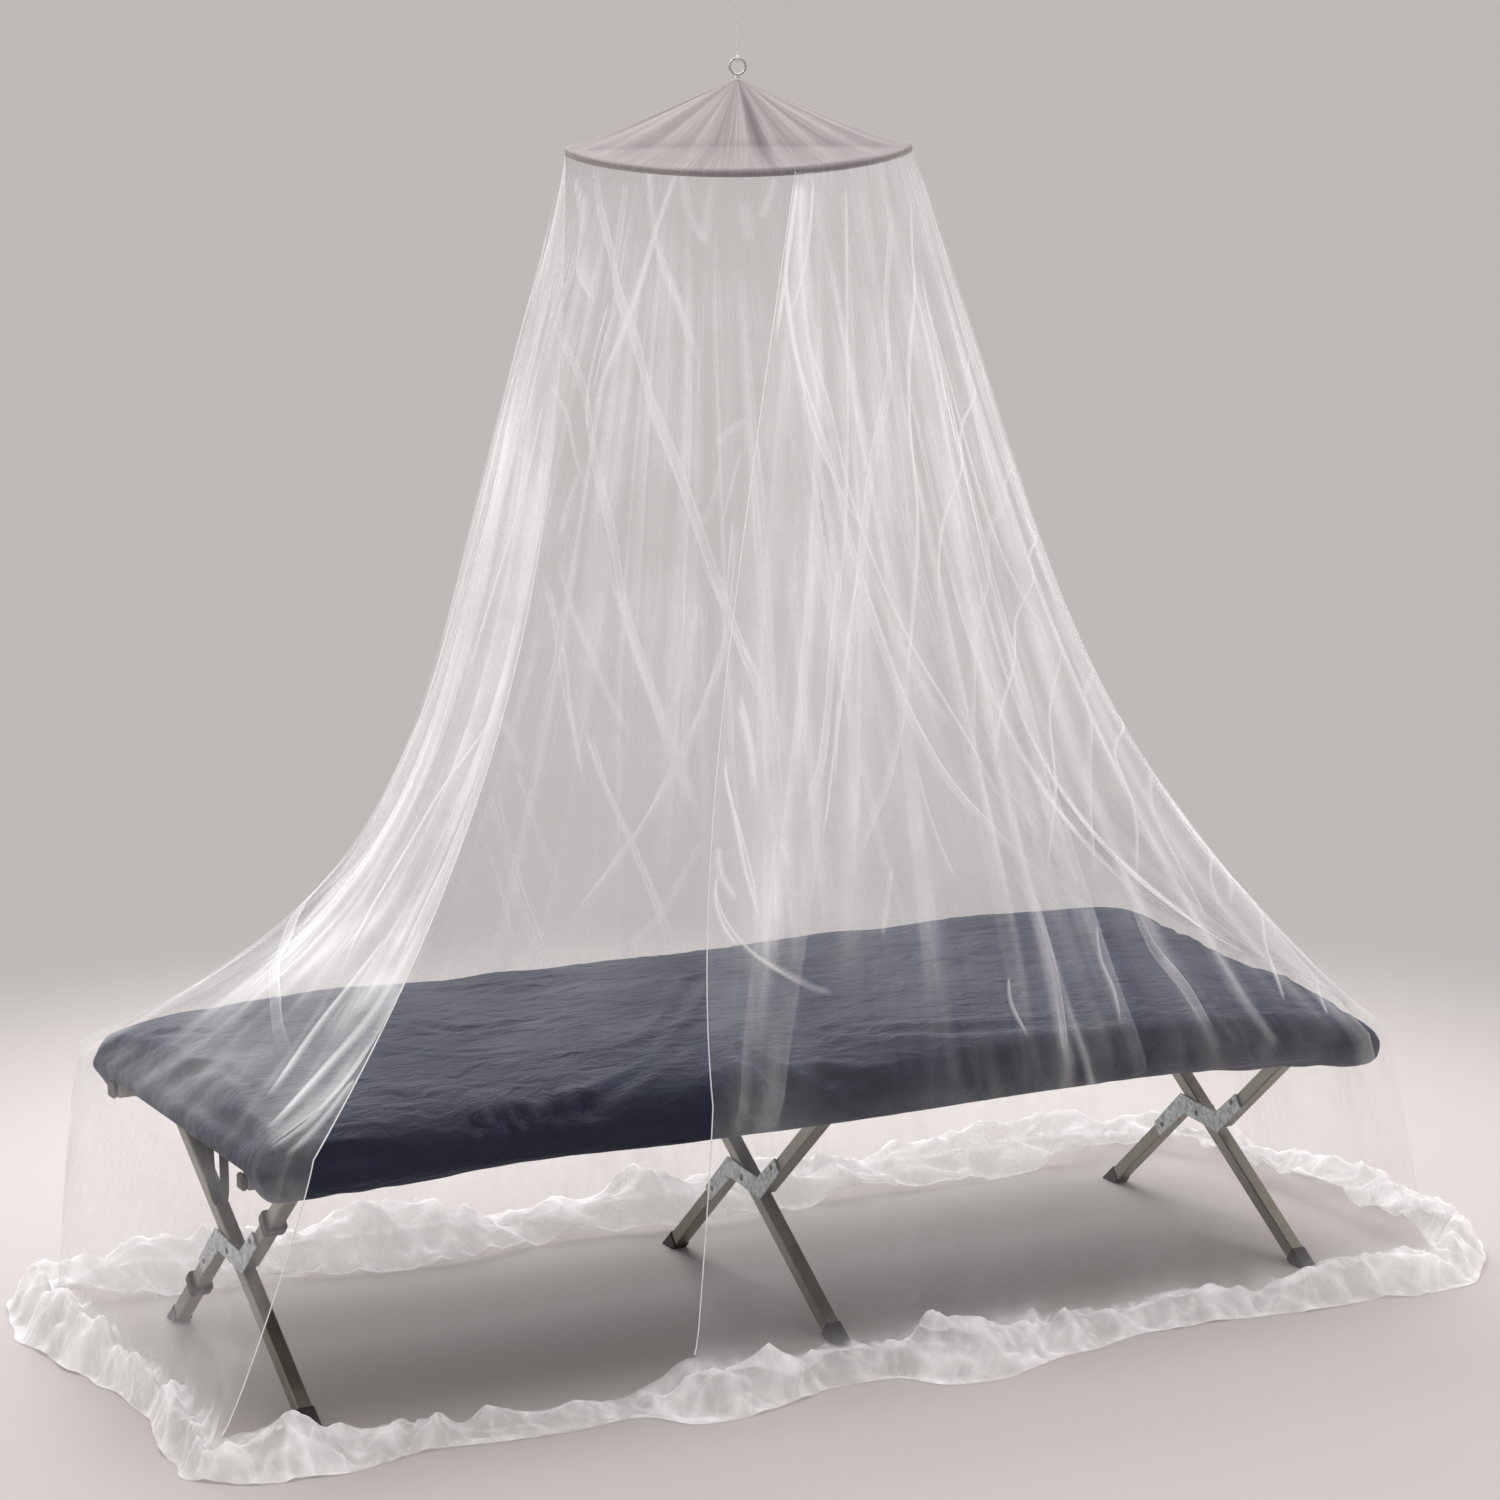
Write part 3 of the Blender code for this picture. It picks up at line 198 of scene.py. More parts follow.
def add_mesh(name, verts, faces, mats, smooth_deg=None):
    mesh = bpy.data.meshes.new(name)
    mesh.from_pydata([tuple(v) for v in verts], [], [tuple(f) for f in faces])
    mesh.update()
    for m in (mats if isinstance(mats, (list, tuple)) else [mats]):
        mesh.materials.append(m)
    mesh.shade_smooth()
    if smooth_deg:
        mesh.set_sharp_from_angle(angle=math.radians(smooth_deg))
    obj = bpy.data.objects.new(name, mesh)
    bpy.context.scene.collection.objects.link(obj)
    return obj


def float_attribute(obj, name, values):
    att = obj.data.attributes.new(name, "FLOAT", "POINT")
    att.data.foreach_set("value", np.asarray(values, np.float32))


def uv_layer(obj, values):
    """One UV pair for each vertex, written to its loops."""
    layer = obj.data.uv_layers.new(name="UVMap")
    loops = np.empty(len(obj.data.loops), np.int32)
    obj.data.loops.foreach_get("vertex_index", loops)
    layer.data.foreach_set("uv", np.asarray(values, np.float32)[loops].ravel())


def tube(path, radius, sides=10, closed=False, cap=True):
    """Vertices and faces of a round tube along points."""
    path = np.asarray(path, float)
    n = len(path)
    radius = np.broadcast_to(np.asarray(radius, float), (n,))
    verts, faces = [], []
    last = None
    for i in range(n):
        before = path[i - 1] if (closed or i) else path[0]
        after = path[(i + 1) % n] if (closed or i < n - 1) else path[-1]
        along = after - before
        along = along / max(np.linalg.norm(along), 1e-9)
        if last is None:
            side = np.cross(along, (0, 0, 1.0))
            if np.linalg.norm(side) < 1e-3:
                side = np.cross(along, (0, 1.0, 0))
        else:
            side = last - along * (last @ along)
        side = side / np.linalg.norm(side)
        last = side
        up = np.cross(side, along)
        for k in range(sides):
            a = 2 * math.pi * k / sides
            verts.append(path[i] + side * (radius[i] * math.cos(a)) + up * (radius[i] * math.sin(a)))
    for i in range(n if closed else n - 1):
        j = (i + 1) % n
        for k in range(sides):
            m = (k + 1) % sides
            faces.append((i * sides + k, i * sides + m, j * sides + m, j * sides + k))
    if cap and not closed:
        faces.append(tuple(range(sides)))
        faces.append(tuple((n - 1) * sides + k for k in reversed(range(sides))))
    return verts, faces


def hoop_xyz(deg, out=0.0, up=0.0):
    """Points on the hoop's centre line, moved outward and up."""
    a = np.radians(np.asarray(deg, float))
    near = np.maximum(0.0, np.cos(a - math.radians(HOOP_DROP_DEG)))
    r = HOOP_RADIUS + out
    return np.stack([r * np.cos(a), r * np.sin(a), HOOP_Z - HOOP_DROP * near ** 1.4 + up], -1)


# --------------------------------------------------------------- materials
class Shader:
    """Small helper round a node tree."""

    def __init__(self, name):
        self.mat = bpy.data.materials.new(name)
        self.mat.use_nodes = True
        self.tree = self.mat.node_tree
        self.main = self.tree.nodes["Principled BSDF"]
        self.out = self.tree.nodes["Material Output"]

    def add(self, kind, **settings):
        node = self.tree.nodes.new(kind)
        for key, value in settings.items():
            if key == "inputs":
                for k, v in value.items():
                    if isinstance(v, bpy.types.NodeSocket):
                        self.tree.links.new(v, node.inputs[k])
                    else:
                        node.inputs[k].default_value = v
            else:
                setattr(node, key, value)
        return node

    def link(self, a, b):
        self.tree.links.new(a, b)

    def math(self, op, a, b=None, c=None, clamp=False):
        node = self.tree.nodes.new("ShaderNodeMath")
        node.operation = op
        node.use_clamp = clamp
        for i, v in enumerate((a, b, c)):
            if v is None:
                continue
            if isinstance(v, bpy.types.NodeSocket):
                self.tree.links.new(v, node.inputs[i])
            else:
                node.inputs[i].default_value = v
        return node.outputs[0]

    def ramp(self, fac, stops, interp="LINEAR"):
        node = self.tree.nodes.new("ShaderNodeValToRGB")
        node.color_ramp.interpolation = interp
        while len(node.color_ramp.elements) < len(stops):
            node.color_ramp.elements.new(0.5)
        for e, (pos, col) in zip(node.color_ramp.elements, stops):
            e.position = pos
            e.color = (col, col, col, 1) if not hasattr(col, "__len__") else (*col, 1)
        self.tree.links.new(fac, node.inputs[0])
        return node.outputs[0]

    def mix(self, fac, a, b):
        node = self.tree.nodes.new("ShaderNodeMix")
        node.data_type = "RGBA"
        for socket, v in ((node.inputs[0], fac), (node.inputs[6], a), (node.inputs[7], b)):
            if isinstance(v, bpy.types.NodeSocket):
                self.tree.links.new(v, socket)
            elif hasattr(v, "__len__"):
                socket.default_value = (*v, 1)
            else:
                socket.default_value = v
        return node.outputs[2]

    def coord(self, kind="Object"):
        return self.add("ShaderNodeTexCoord").outputs[kind]

    def noise(self, vector, scale, detail=3.0, rough=0.55, distortion=0.0):
        node = self.add("ShaderNodeTexNoise", inputs={"Scale": scale, "Detail": detail,
                                                      "Roughness": rough, "Distortion": distortion})
        if vector is not None:
            self.link(vector, node.inputs["Vector"])
        return node.outputs["Fac"]

    def mapping(self, vector, scale=(1, 1, 1), rotation=(0, 0, 0), location=(0, 0, 0)):
        node = self.add("ShaderNodeMapping")
        node.inputs["Scale"].default_value = scale
        node.inputs["Rotation"].default_value = rotation
        node.inputs["Location"].default_value = location
        self.link(vector, node.inputs["Vector"])
        return node.outputs["Vector"]

    def bump(self, height, strength, distance, normal=None):
        node = self.add("ShaderNodeBump", inputs={"Strength": strength, "Distance": distance})
        self.link(height, node.inputs["Height"])
        if normal is not None:
            self.link(normal, node.inputs["Normal"])
        return node.outputs["Normal"]


def net_material():
    """Fine white polyester mesh: how much it covers comes from its folds."""
    s = Shader("net_cloth")
    cover = s.add("ShaderNodeAttribute", attribute_name="cover").outputs["Fac"]
    uv = s.coord("UV")
    obj = s.coord("Object")
    lay = s.add("ShaderNodeAttribute", attribute_name="lay").outputs["Fac"]
    parts = s.add("ShaderNodeSeparateXYZ", inputs={"Vector": uv})
    across, down = parts.outputs["X"], parts.outputs["Y"]

    def ridge(value, sharp, power):
        away = s.math("ABSOLUTE", s.math("SUBTRACT", value, 0.5))
        return s.math("POWER", s.math("SUBTRACT", 1.0, s.math("MULTIPLY", away, sharp), None, True), power)

    def slanted(slant, wide, long, detail, sharp, power, shift):
        x = s.math("ADD", s.math("MULTIPLY", down, slant), across)
        v = s.add("ShaderNodeCombineXYZ", inputs={"X": s.math("MULTIPLY", x, wide), "Y": s.math("MULTIPLY", down, long), "Z": shift})
        return ridge(s.noise(v.outputs[0], 1.0, detail, 0.5, 0.0), sharp, power)

    # soft folds that run down the cloth and cross, and the crinkles of packed cloth
    right = slanted(0.45, 3.2, 0.9, 1.0, 6.5, 1.4, 1.3)
    left = slanted(-0.60, 3.6, 1.0, 1.0, 6.5, 1.4, 7.7)
    thin = slanted(0.10, 9.0, 1.6, 1.0, 7.0, 1.6, 4.1)
    thin2 = slanted(-0.35, 11.0, 2.0, 1.0, 8.0, 1.6, 9.4)
    cloud = s.noise(obj, 5.0, 2.0, 0.55, 0.0)
    patch = s.ramp(cloud, [(0.36, 0.15), (0.64, 1.0)])
    folds = s.math("ADD", s.math("MULTIPLY", s.math("MAXIMUM", right, left), 1.5),
                   s.math("MULTIPLY", s.math("MAXIMUM", thin, thin2), 1.1))
    crinkle = ridge(s.noise(obj, 30.0, 2.0, 0.60, 0.0), 5.0, 1.5)
    calm = s.ramp(s.math("DIVIDE", down, 3.0), [(0.30, 1.0), (0.40, 0.35)])
    folds = s.math("MULTIPLY", s.math("MULTIPLY", folds, patch), calm)
    hang = s.math("ADD", folds, s.math("ADD", s.math("MULTIPLY", cloud, 0.5), s.math("MULTIPLY", crinkle, 0.16)))
    hang = s.math("ADD", hang, 0.28)
    crush = s.mapping(obj, scale=(1.0, 1.0, 0.5), rotation=(0.0, 0.0, 0.6))
    big = ridge(s.noise(crush, 7.0, 2.0, 0.50, 0.6), 5.0, 2.0)
    small = ridge(s.noise(crush, 19.0, 2.0, 0.60, 0.5), 5.0, 2.2)
    soft = s.noise(crush, 12.0, 3.0, 0.6, 0.0)
    pile = s.math("ADD", s.math("ADD", s.math("MULTIPLY", big, 0.42), s.math("MULTIPLY", small, 0.30)),
                  s.math("ADD", s.math("MULTIPLY", cloud, 0.8), s.math("MULTIPLY", soft, 0.8)))
    pile = s.math("SUBTRACT", pile, 0.15)
    blend = s.add("ShaderNodeMix", inputs={0: lay, 2: hang, 3: pile})
    band = s.add("ShaderNodeAttribute", attribute_name="band").outputs["Fac"]
    even = s.add("ShaderNodeMix", inputs={0: band, 2: blend.outputs[0], 3: s.math("ADD", s.math("MULTIPLY", cloud, 0.9), 0.45)})
    base = s.math("MULTIPLY", cover, even.outputs[0])
    facing = s.add("ShaderNodeLayerWeight").outputs["Facing"]
    lift = s.math("ADD", s.math("MULTIPLY", s.math("POWER", facing, 2.6), 1.3), 1.0)
    alpha = s.math("MINIMUM", s.math("MULTIPLY", base, lift), 0.96)
    s.link(alpha, s.main.inputs["Alpha"])
    s.main.inputs["Base Color"].default_value = (0.93, 0.925, 0.925, 1)
    s.main.inputs["Roughness"].default_value = 0.85
    s.main.inputs["Specular IOR Level"].default_value = 0.25
    s.main.inputs["Sheen Weight"].default_value = 0.20
    s.main.inputs["Sheen Roughness"].default_value = 0.5
    return s.mat


def binding_material():
    s = Shader("binding_tape")
    grain = s.noise(s.coord("Object"), 900.0, 2.0, 0.5)
    s.link(s.mix(grain, (0.66, 0.65, 0.645), (0.80, 0.79, 0.785)), s.main.inputs["Base Color"])
    s.main.inputs["Roughness"].default_value = 0.75
    s.link(s.bump(grain, 0.3, 0.0005), s.main.inputs["Normal"])
    return s.mat


def roof_material():
    """A closer weave. Its grey is painted shade from under it, with painted shade and painted highlights along its
    folds.
    """
    s = Shader("roof_cloth")
    cover = s.add("ShaderNodeAttribute", attribute_name="cover").outputs["Fac"]
    uv = s.coord("UV")
    rays = s.noise(s.mapping(uv, scale=(1.0, 0.08, 1.0)), 16.0, 4.0, 0.6)
    alpha = s.math("MULTIPLY", cover, s.math("ADD", s.math("MULTIPLY", s.math("SUBTRACT", rays, 0.5), 0.35), 1.0))
    s.link(s.math("MINIMUM", alpha, 0.98), s.main.inputs["Alpha"])
    # painted shade: the grey tone, varied along radial streaks, stands in for the shade under the roof
    tone = s.ramp(rays, [(0.30, (0.215, 0.196, 0.196)), (0.52, (0.275, 0.252, 0.251)), (0.75, (0.390, 0.362, 0.361))])
    dark = s.add("ShaderNodeAttribute", attribute_name="dark").outputs["Fac"]
    light = s.add("ShaderNodeAttribute", attribute_name="light").outputs["Fac"]
    # painted highlight on the fold ridges (light attribute)
    tone = s.mix(light, tone, (0.46, 0.435, 0.432))
    # painted shade in the fold hollows and at the front rim (dark attribute)
    s.link(s.mix(dark, tone, (0.120, 0.102, 0.107)), s.main.inputs["Base Color"])
    s.main.inputs["Roughness"].default_value = 0.9
    s.main.inputs["Specular IOR Level"].default_value = 0.2
    grain = s.noise(s.coord("Object"), 420.0, 3.0, 0.6)
    s.link(s.bump(grain, 0.2, 0.001), s.main.inputs["Normal"])
    return s.mat


def pad_material():
    """Navy woven cotton, its tone varying at random."""
    s = Shader("pad_cloth")
    obj = s.coord("Object")
    warp = s.add("ShaderNodeTexWave", wave_type="BANDS", bands_direction="X",
                 inputs={"Scale": 260.0, "Distortion": 1.2, "Detail": 2.0, "Detail Scale": 3.0})
    weft = s.add("ShaderNodeTexWave", wave_type="BANDS", bands_direction="Y",
                 inputs={"Scale": 260.0, "Distortion": 1.2, "Detail": 2.0, "Detail Scale": 3.0})
    s.link(obj, warp.inputs["Vector"])
    s.link(obj, weft.inputs["Vector"])
    weave = s.math("MULTIPLY", warp.outputs["Fac"], weft.outputs["Fac"])
    cloud = s.noise(obj, 7.0, 4.0, 0.6)
    streak = s.noise(s.mapping(obj, scale=(1.0, 6.0, 2.0)), 14.0, 3.0, 0.6)
    mixed = s.math("ADD", s.math("MULTIPLY", cloud, 0.6), s.math("MULTIPLY", streak, 0.4))
    tone = s.ramp(mixed, [(0.30, (0.006, 0.008, 0.021)), (0.52, (0.010, 0.013, 0.033)), (0.75, (0.017, 0.021, 0.050))])
    s.link(s.mix(s.math("MULTIPLY", weave, 0.14), tone, (0.028, 0.034, 0.074)), s.main.inputs["Base Color"])
    s.link(s.ramp(cloud, [(0.2, 0.58), (0.8, 0.78)]), s.main.inputs["Roughness"])
    s.main.inputs["Sheen Weight"].default_value = 0.17
    s.main.inputs["Sheen Roughness"].default_value = 0.40
    s.main.inputs["Sheen Tint"].default_value = (0.52, 0.60, 0.90, 1)
    s.main.inputs["Specular IOR Level"].default_value = 0.35
    soft = s.noise(s.mapping(obj, scale=(1.0, 2.2, 1.6)), 20.0, 4.0, 0.55, 0.8)
    first = s.bump(soft, 0.55, 0.012)
    s.link(s.bump(weave, 0.12, 0.0004, first), s.main.inputs["Normal"])
    return s.mat


def metal_material(name, dark, light, rough, scratch_axis, metallic=1.0, blotch=40.0):
    s = Shader(name)
    obj = s.coord("Object")
    stretch = {"X": (0.06, 1, 1), "Y": (1, 0.06, 1), "Z": (1, 1, 0.06)}[scratch_axis]
    brushed = s.noise(s.mapping(obj, scale=stretch), 260.0, 3.0, 0.6)
    cloud = s.noise(obj, blotch, 4.0, 0.6)
    mixed = s.math("ADD", s.math("MULTIPLY", brushed, 0.45), s.math("MULTIPLY", cloud, 0.55))
    s.link(s.ramp(mixed, [(0.30, dark), (0.70, light)]), s.main.inputs["Base Color"])
    s.link(s.ramp(cloud, [(0.2, max(0.05, rough - 0.10)), (0.8, rough + 0.12)]), s.main.inputs["Roughness"])
    s.main.inputs["Metallic"].default_value = metallic
    s.link(s.bump(brushed, 0.12, 0.0006), s.main.inputs["Normal"])
    return s.mat


def zinc_material():
    """Galvanised sheet: pale crystals with small dark scuffs."""
    s = Shader("zinc_plate")
    obj = s.coord("Object")
    cell = s.add("ShaderNodeTexVoronoi", inputs={"Scale": 170.0, "Randomness": 1.0})
    s.link(obj, cell.inputs["Vector"])
    tint = s.add("ShaderNodeSeparateColor", inputs={"Color": cell.outputs["Color"]}).outputs["Red"]
    cloud = s.noise(obj, 60.0, 4.0, 0.65)
    mixed = s.math("ADD", s.math("MULTIPLY", tint, 0.4), s.math("MULTIPLY", cloud, 0.6))
    s.link(s.ramp(mixed, [(0.25, (0.30, 0.335, 0.345)), (0.50, (0.52, 0.57, 0.58)), (0.78, (0.72, 0.76, 0.765))]),
           s.main.inputs["Base Color"])
    s.main.inputs["Metallic"].default_value = 0.65
    s.link(s.ramp(cloud, [(0.2, 0.34), (0.8, 0.55)]), s.main.inputs["Roughness"])
    s.link(s.bump(cloud, 0.2, 0.0010), s.main.inputs["Normal"])
    return s.mat


def plastic_material():
    s = Shader("dark_plastic")
    obj = s.coord("Object")
    grain = s.noise(obj, 700.0, 2.0, 0.5)
    dust = s.noise(obj, 45.0, 4.0, 0.65)
    s.link(s.ramp(dust, [(0.35, (0.030, 0.026, 0.028)), (0.62, (0.052, 0.046, 0.048)), (0.85, (0.115, 0.105, 0.105))]),
           s.main.inputs["Base Color"])
    s.link(s.ramp(dust, [(0.3, 0.42), (0.8, 0.65)]), s.main.inputs["Roughness"])
    s.link(s.bump(grain, 0.25, 0.0005), s.main.inputs["Normal"])
    return s.mat


def woven_material(name, dark, light, scale, rough=0.85):
    s = Shader(name)
    obj = s.coord("Object")
    a = s.add("ShaderNodeTexWave", wave_type="BANDS", bands_direction="Y", inputs={"Scale": scale, "Distortion": 0.4})
    b = s.add("ShaderNodeTexWave", wave_type="BANDS", bands_direction="Z", inputs={"Scale": scale, "Distortion": 0.4})
    c = s.add("ShaderNodeTexWave", wave_type="BANDS", bands_direction="X", inputs={"Scale": scale, "Distortion": 0.4})
    for node in (a, b, c):
        s.link(obj, node.inputs["Vector"])
    weave = s.math("MULTIPLY", s.math("MAXIMUM", a.outputs["Fac"], c.outputs["Fac"]), b.outputs["Fac"])
    cloud = s.noise(obj, 30.0, 3.0, 0.6)
    s.link(s.mix(s.math("ADD", s.math("MULTIPLY", weave, 0.5), s.math("MULTIPLY", cloud, 0.5)), dark, light),
           s.main.inputs["Base Color"])
    s.main.inputs["Roughness"].default_value = rough
    s.link(s.bump(weave, 0.5, 0.0008), s.main.inputs["Normal"])
    return s.mat


# --------------------------------------------------------------- net skirt
FINE = 8                 # grid columns for each column of the rib table
ROWS_UP, ROWS_LOW, ROWS_PILE = 58, 22, 24


def rib_params():
    rows = [dict(zip(RIB_COLUMNS, r)) for r in RIBS]
    count = len(rows)
    out = {k: [] for k in RIB_COLUMNS[1:]}
    left_edge = 0
    for i, row in enumerate(rows):
        if i == LEFT_EDGE_ROW:
            left_edge = len(out["hoop"])
        nxt, prev, after = rows[(i + 1) % count], rows[i - 1], rows[(i + 2) % count]
        wall = i < LEFT_EDGE_ROW
        steps = row["steps"] * FINE
        for s in range(steps):
            t = s / steps
            for key in RIB_COLUMNS[1:]:
                p0, p1, p2, p3 = prev[key], row[key], nxt[key], after[key]
                if key == "hoop":
                    if i == 0:
                        p0 = p1 - 9.0
                    if i == count - 1:
                        p2, p3 = p2 + 360.0, p3 + 360.0
                    if i == count - 2:
                        p3 = p3 + 360.0
                elif wall and key in ("ex", "ey", "ez", "lean", "power"):
                    if i == 0:
                        p0 = p1 - (p2 - p1)
                    if i + 1 == LEFT_EDGE_ROW:
                        p3 = p2 + (p2 - p1)
                out[key].append(catmull(p0, p1, p2, p3, t))
    return {k: np.array(v) for k, v in out.items()}, left_edge


def fold_height(deg, v, spread):
    total = np.zeros_like(deg + v)
    for top, low, width, height in FOLDS:
        centre = top + (low - top) * np.minimum(v, 1.0)
        total = total + height * np.exp(-((deg - centre) / width) ** 2)
    room = np.minimum(1.0, spread / 0.050)
    fade = smooth(0.0, 0.25, v) * (1.0 - 0.75 * np.exp(-((v - 1.0) / 0.10) ** 2))
    fade = np.where(v > 1.0, fade * (1.0 - 0.7 * smooth(1.5, 2.0, v)), fade)
    return total * room * fade


# Loose pleats, soft and broad, gathered in at the hoop and fanned out towards the bed.
#   from, to  degrees round the hoop;  count;  height;  cover of each pleat line
PLEAT_ZONES = [
    (-97.0, -86.0, 4, 0.006, 0.26),
    (-86.0, -58.0, 11, 0.006, 0.17),
    (-58.0, -30.0, 13, 0.006, 0.21),
    (-30.0, 32.0, 22, 0.008, 0.22),
    (32.0, 60.0, 12, 0.007, 0.30),
    (60.0, 100.0, 18, 0.007, 0.30),
    (100.0, 131.0, 15, 0.007, 0.36),
    (131.0, 158.0, 20, 0.006, 0.20),
]


def pleats():
    rng = np.random.default_rng(41)
    out = []
    for start, end, count, height, cover in PLEAT_ZONES:
        step = (end - start) / count
        for k in range(count):
            top = start + step * (k + 0.5 + rng.uniform(-0.45, 0.45))
            low = start + step * (k + 0.5 + rng.uniform(-2.2, 2.2))
            low = min(max(low, start - 0.3 * step, -96.5), end + 0.3 * step, 157.0)
            begin = rng.choice([0.0, rng.uniform(0.0, 0.2), rng.uniform(0.1, 0.6)])
            out.append({
                "top": top, "low": low, "bend": rng.uniform(-0.7, 0.7) * step,
                "width": step * rng.uniform(0.20, 0.40),
                "height": height * rng.uniform(0.5, 1.3),
                "cover": cover * rng.uniform(0.25, 1.4),
                "wide": rng.uniform(0.005, 0.020),
                "kind": rng.choice(["soft", "soft", "soft", "left", "right"]),
                "start": begin,
                "end": begin + rng.uniform(0.45, 1.1),
            })
    return out


def pleat_centre(p, v):
    w = np.minimum(v, 1.15)
    return p["top"] + (p["low"] - p["top"]) * w + p["bend"] * np.sin(math.pi * np.clip(w, 0, 1))


def pile_profile(foot_z, crest):
    flat = np.minimum(foot_z, crest)
    part = np.array([0.00, 0.20, 0.42, 0.60, 0.78, 0.90, 1.00])
    z = np.stack([foot_z, np.maximum(flat * 0.80, crest * 0.55), crest, crest * 0.72, crest * 0.34,
                  np.full_like(crest, 0.006), np.full_like(crest, 0.001)], -1)
    return part, z


def net_grid():
    """Every point of the skirt: positions[column, row], the rows' depth v, and the columns."""
    P, left = rib_params()
    n = len(P["hoop"])
    top = hoop_xyz(P["hoop"], SEAM_OFFSET, -0.0008)
    edge = np.stack([P["ex"], P["ey"], P["ez"]], -1)
    foot = np.stack([P["fx"], P["fy"], P["fz"]], -1)
    u = np.linspace(0, 1, 161)[None, :]
    f = P["lean"][:, None] * u + (1 - P["lean"][:, None]) * u ** P["power"][:, None]
    dense = np.stack([top[:, 0, None] + (edge[:, 0] - top[:, 0])[:, None] * f,
                      top[:, 1, None] + (edge[:, 1] - top[:, 1])[:, None] * f,
                      top[:, 2, None] + (edge[:, 2] - top[:, 2])[:, None] * u], -1)
    run = np.concatenate([np.zeros((n, 1)), np.cumsum(np.linalg.norm(np.diff(dense, axis=1), axis=2), 1)], 1)
    upper = np.empty((n, ROWS_UP, 3))
    for c in range(n):
        want = run[c, -1] * np.arange(ROWS_UP) / ROWS_UP
        for k in range(3):
            upper[c, :, k] = np.interp(want, run[c], dense[c, :, k])
    t = np.arange(ROWS_LOW) / ROWS_LOW
    g = 0.35 * t + 0.65 * t ** 1.25
    lower = np.stack([edge[:, 0, None] + (foot[:, 0] - edge[:, 0])[:, None] * g,
                      edge[:, 1, None] + (foot[:, 1] - edge[:, 1])[:, None] * g,
                      edge[:, 2, None] + (foot[:, 2] - edge[:, 2])[:, None] * t], -1)
    crest = P["crest"].copy()
    for at, width, rise in LOBES:
        crest += rise * np.exp(-((P["hoop"] - at) / width) ** 2)
    crest = np.maximum(0.012, crest)
    part, z = pile_profile(foot[:, 2], crest)
    pv = np.linspace(0, 1, ROWS_PILE + 1)
    pile = np.empty((n, ROWS_PILE + 1, 3))
    for c in range(n):
        zz = spline(np.stack([part, z[c]], -1), 60)
        pile[c, :, 2] = np.interp(pv, zz[:, 0], zz[:, 1])
    pile[:, :, 0] = foot[:, 0, None] + (P["hx"] - foot[:, 0])[:, None] * pv
    pile[:, :, 1] = foot[:, 1, None] + (P["hy"] - foot[:, 1])[:, None] * pv
    v = np.concatenate([np.arange(ROWS_UP) / ROWS_UP, 1 + t, 2 + pv])
    return P, left, np.concatenate([upper, lower, pile], 1), v


def outward(grid, left):
    """Unit normals of the hanging wall, away from the axis."""
    across = np.gradient(grid, axis=0)
    down = np.gradient(grid, axis=1)
    normal = np.cross(across, down)
    length = np.linalg.norm(normal, axis=2, keepdims=True)
    normal = normal / np.maximum(length, 1e-12)
    side = normal[..., 0] * grid[..., 0] + normal[..., 1] * grid[..., 1] + normal[..., 2] * 0.15
    normal = np.where(side[..., None] < 0, -normal, normal)
    return normal, np.linalg.norm(across, axis=2)


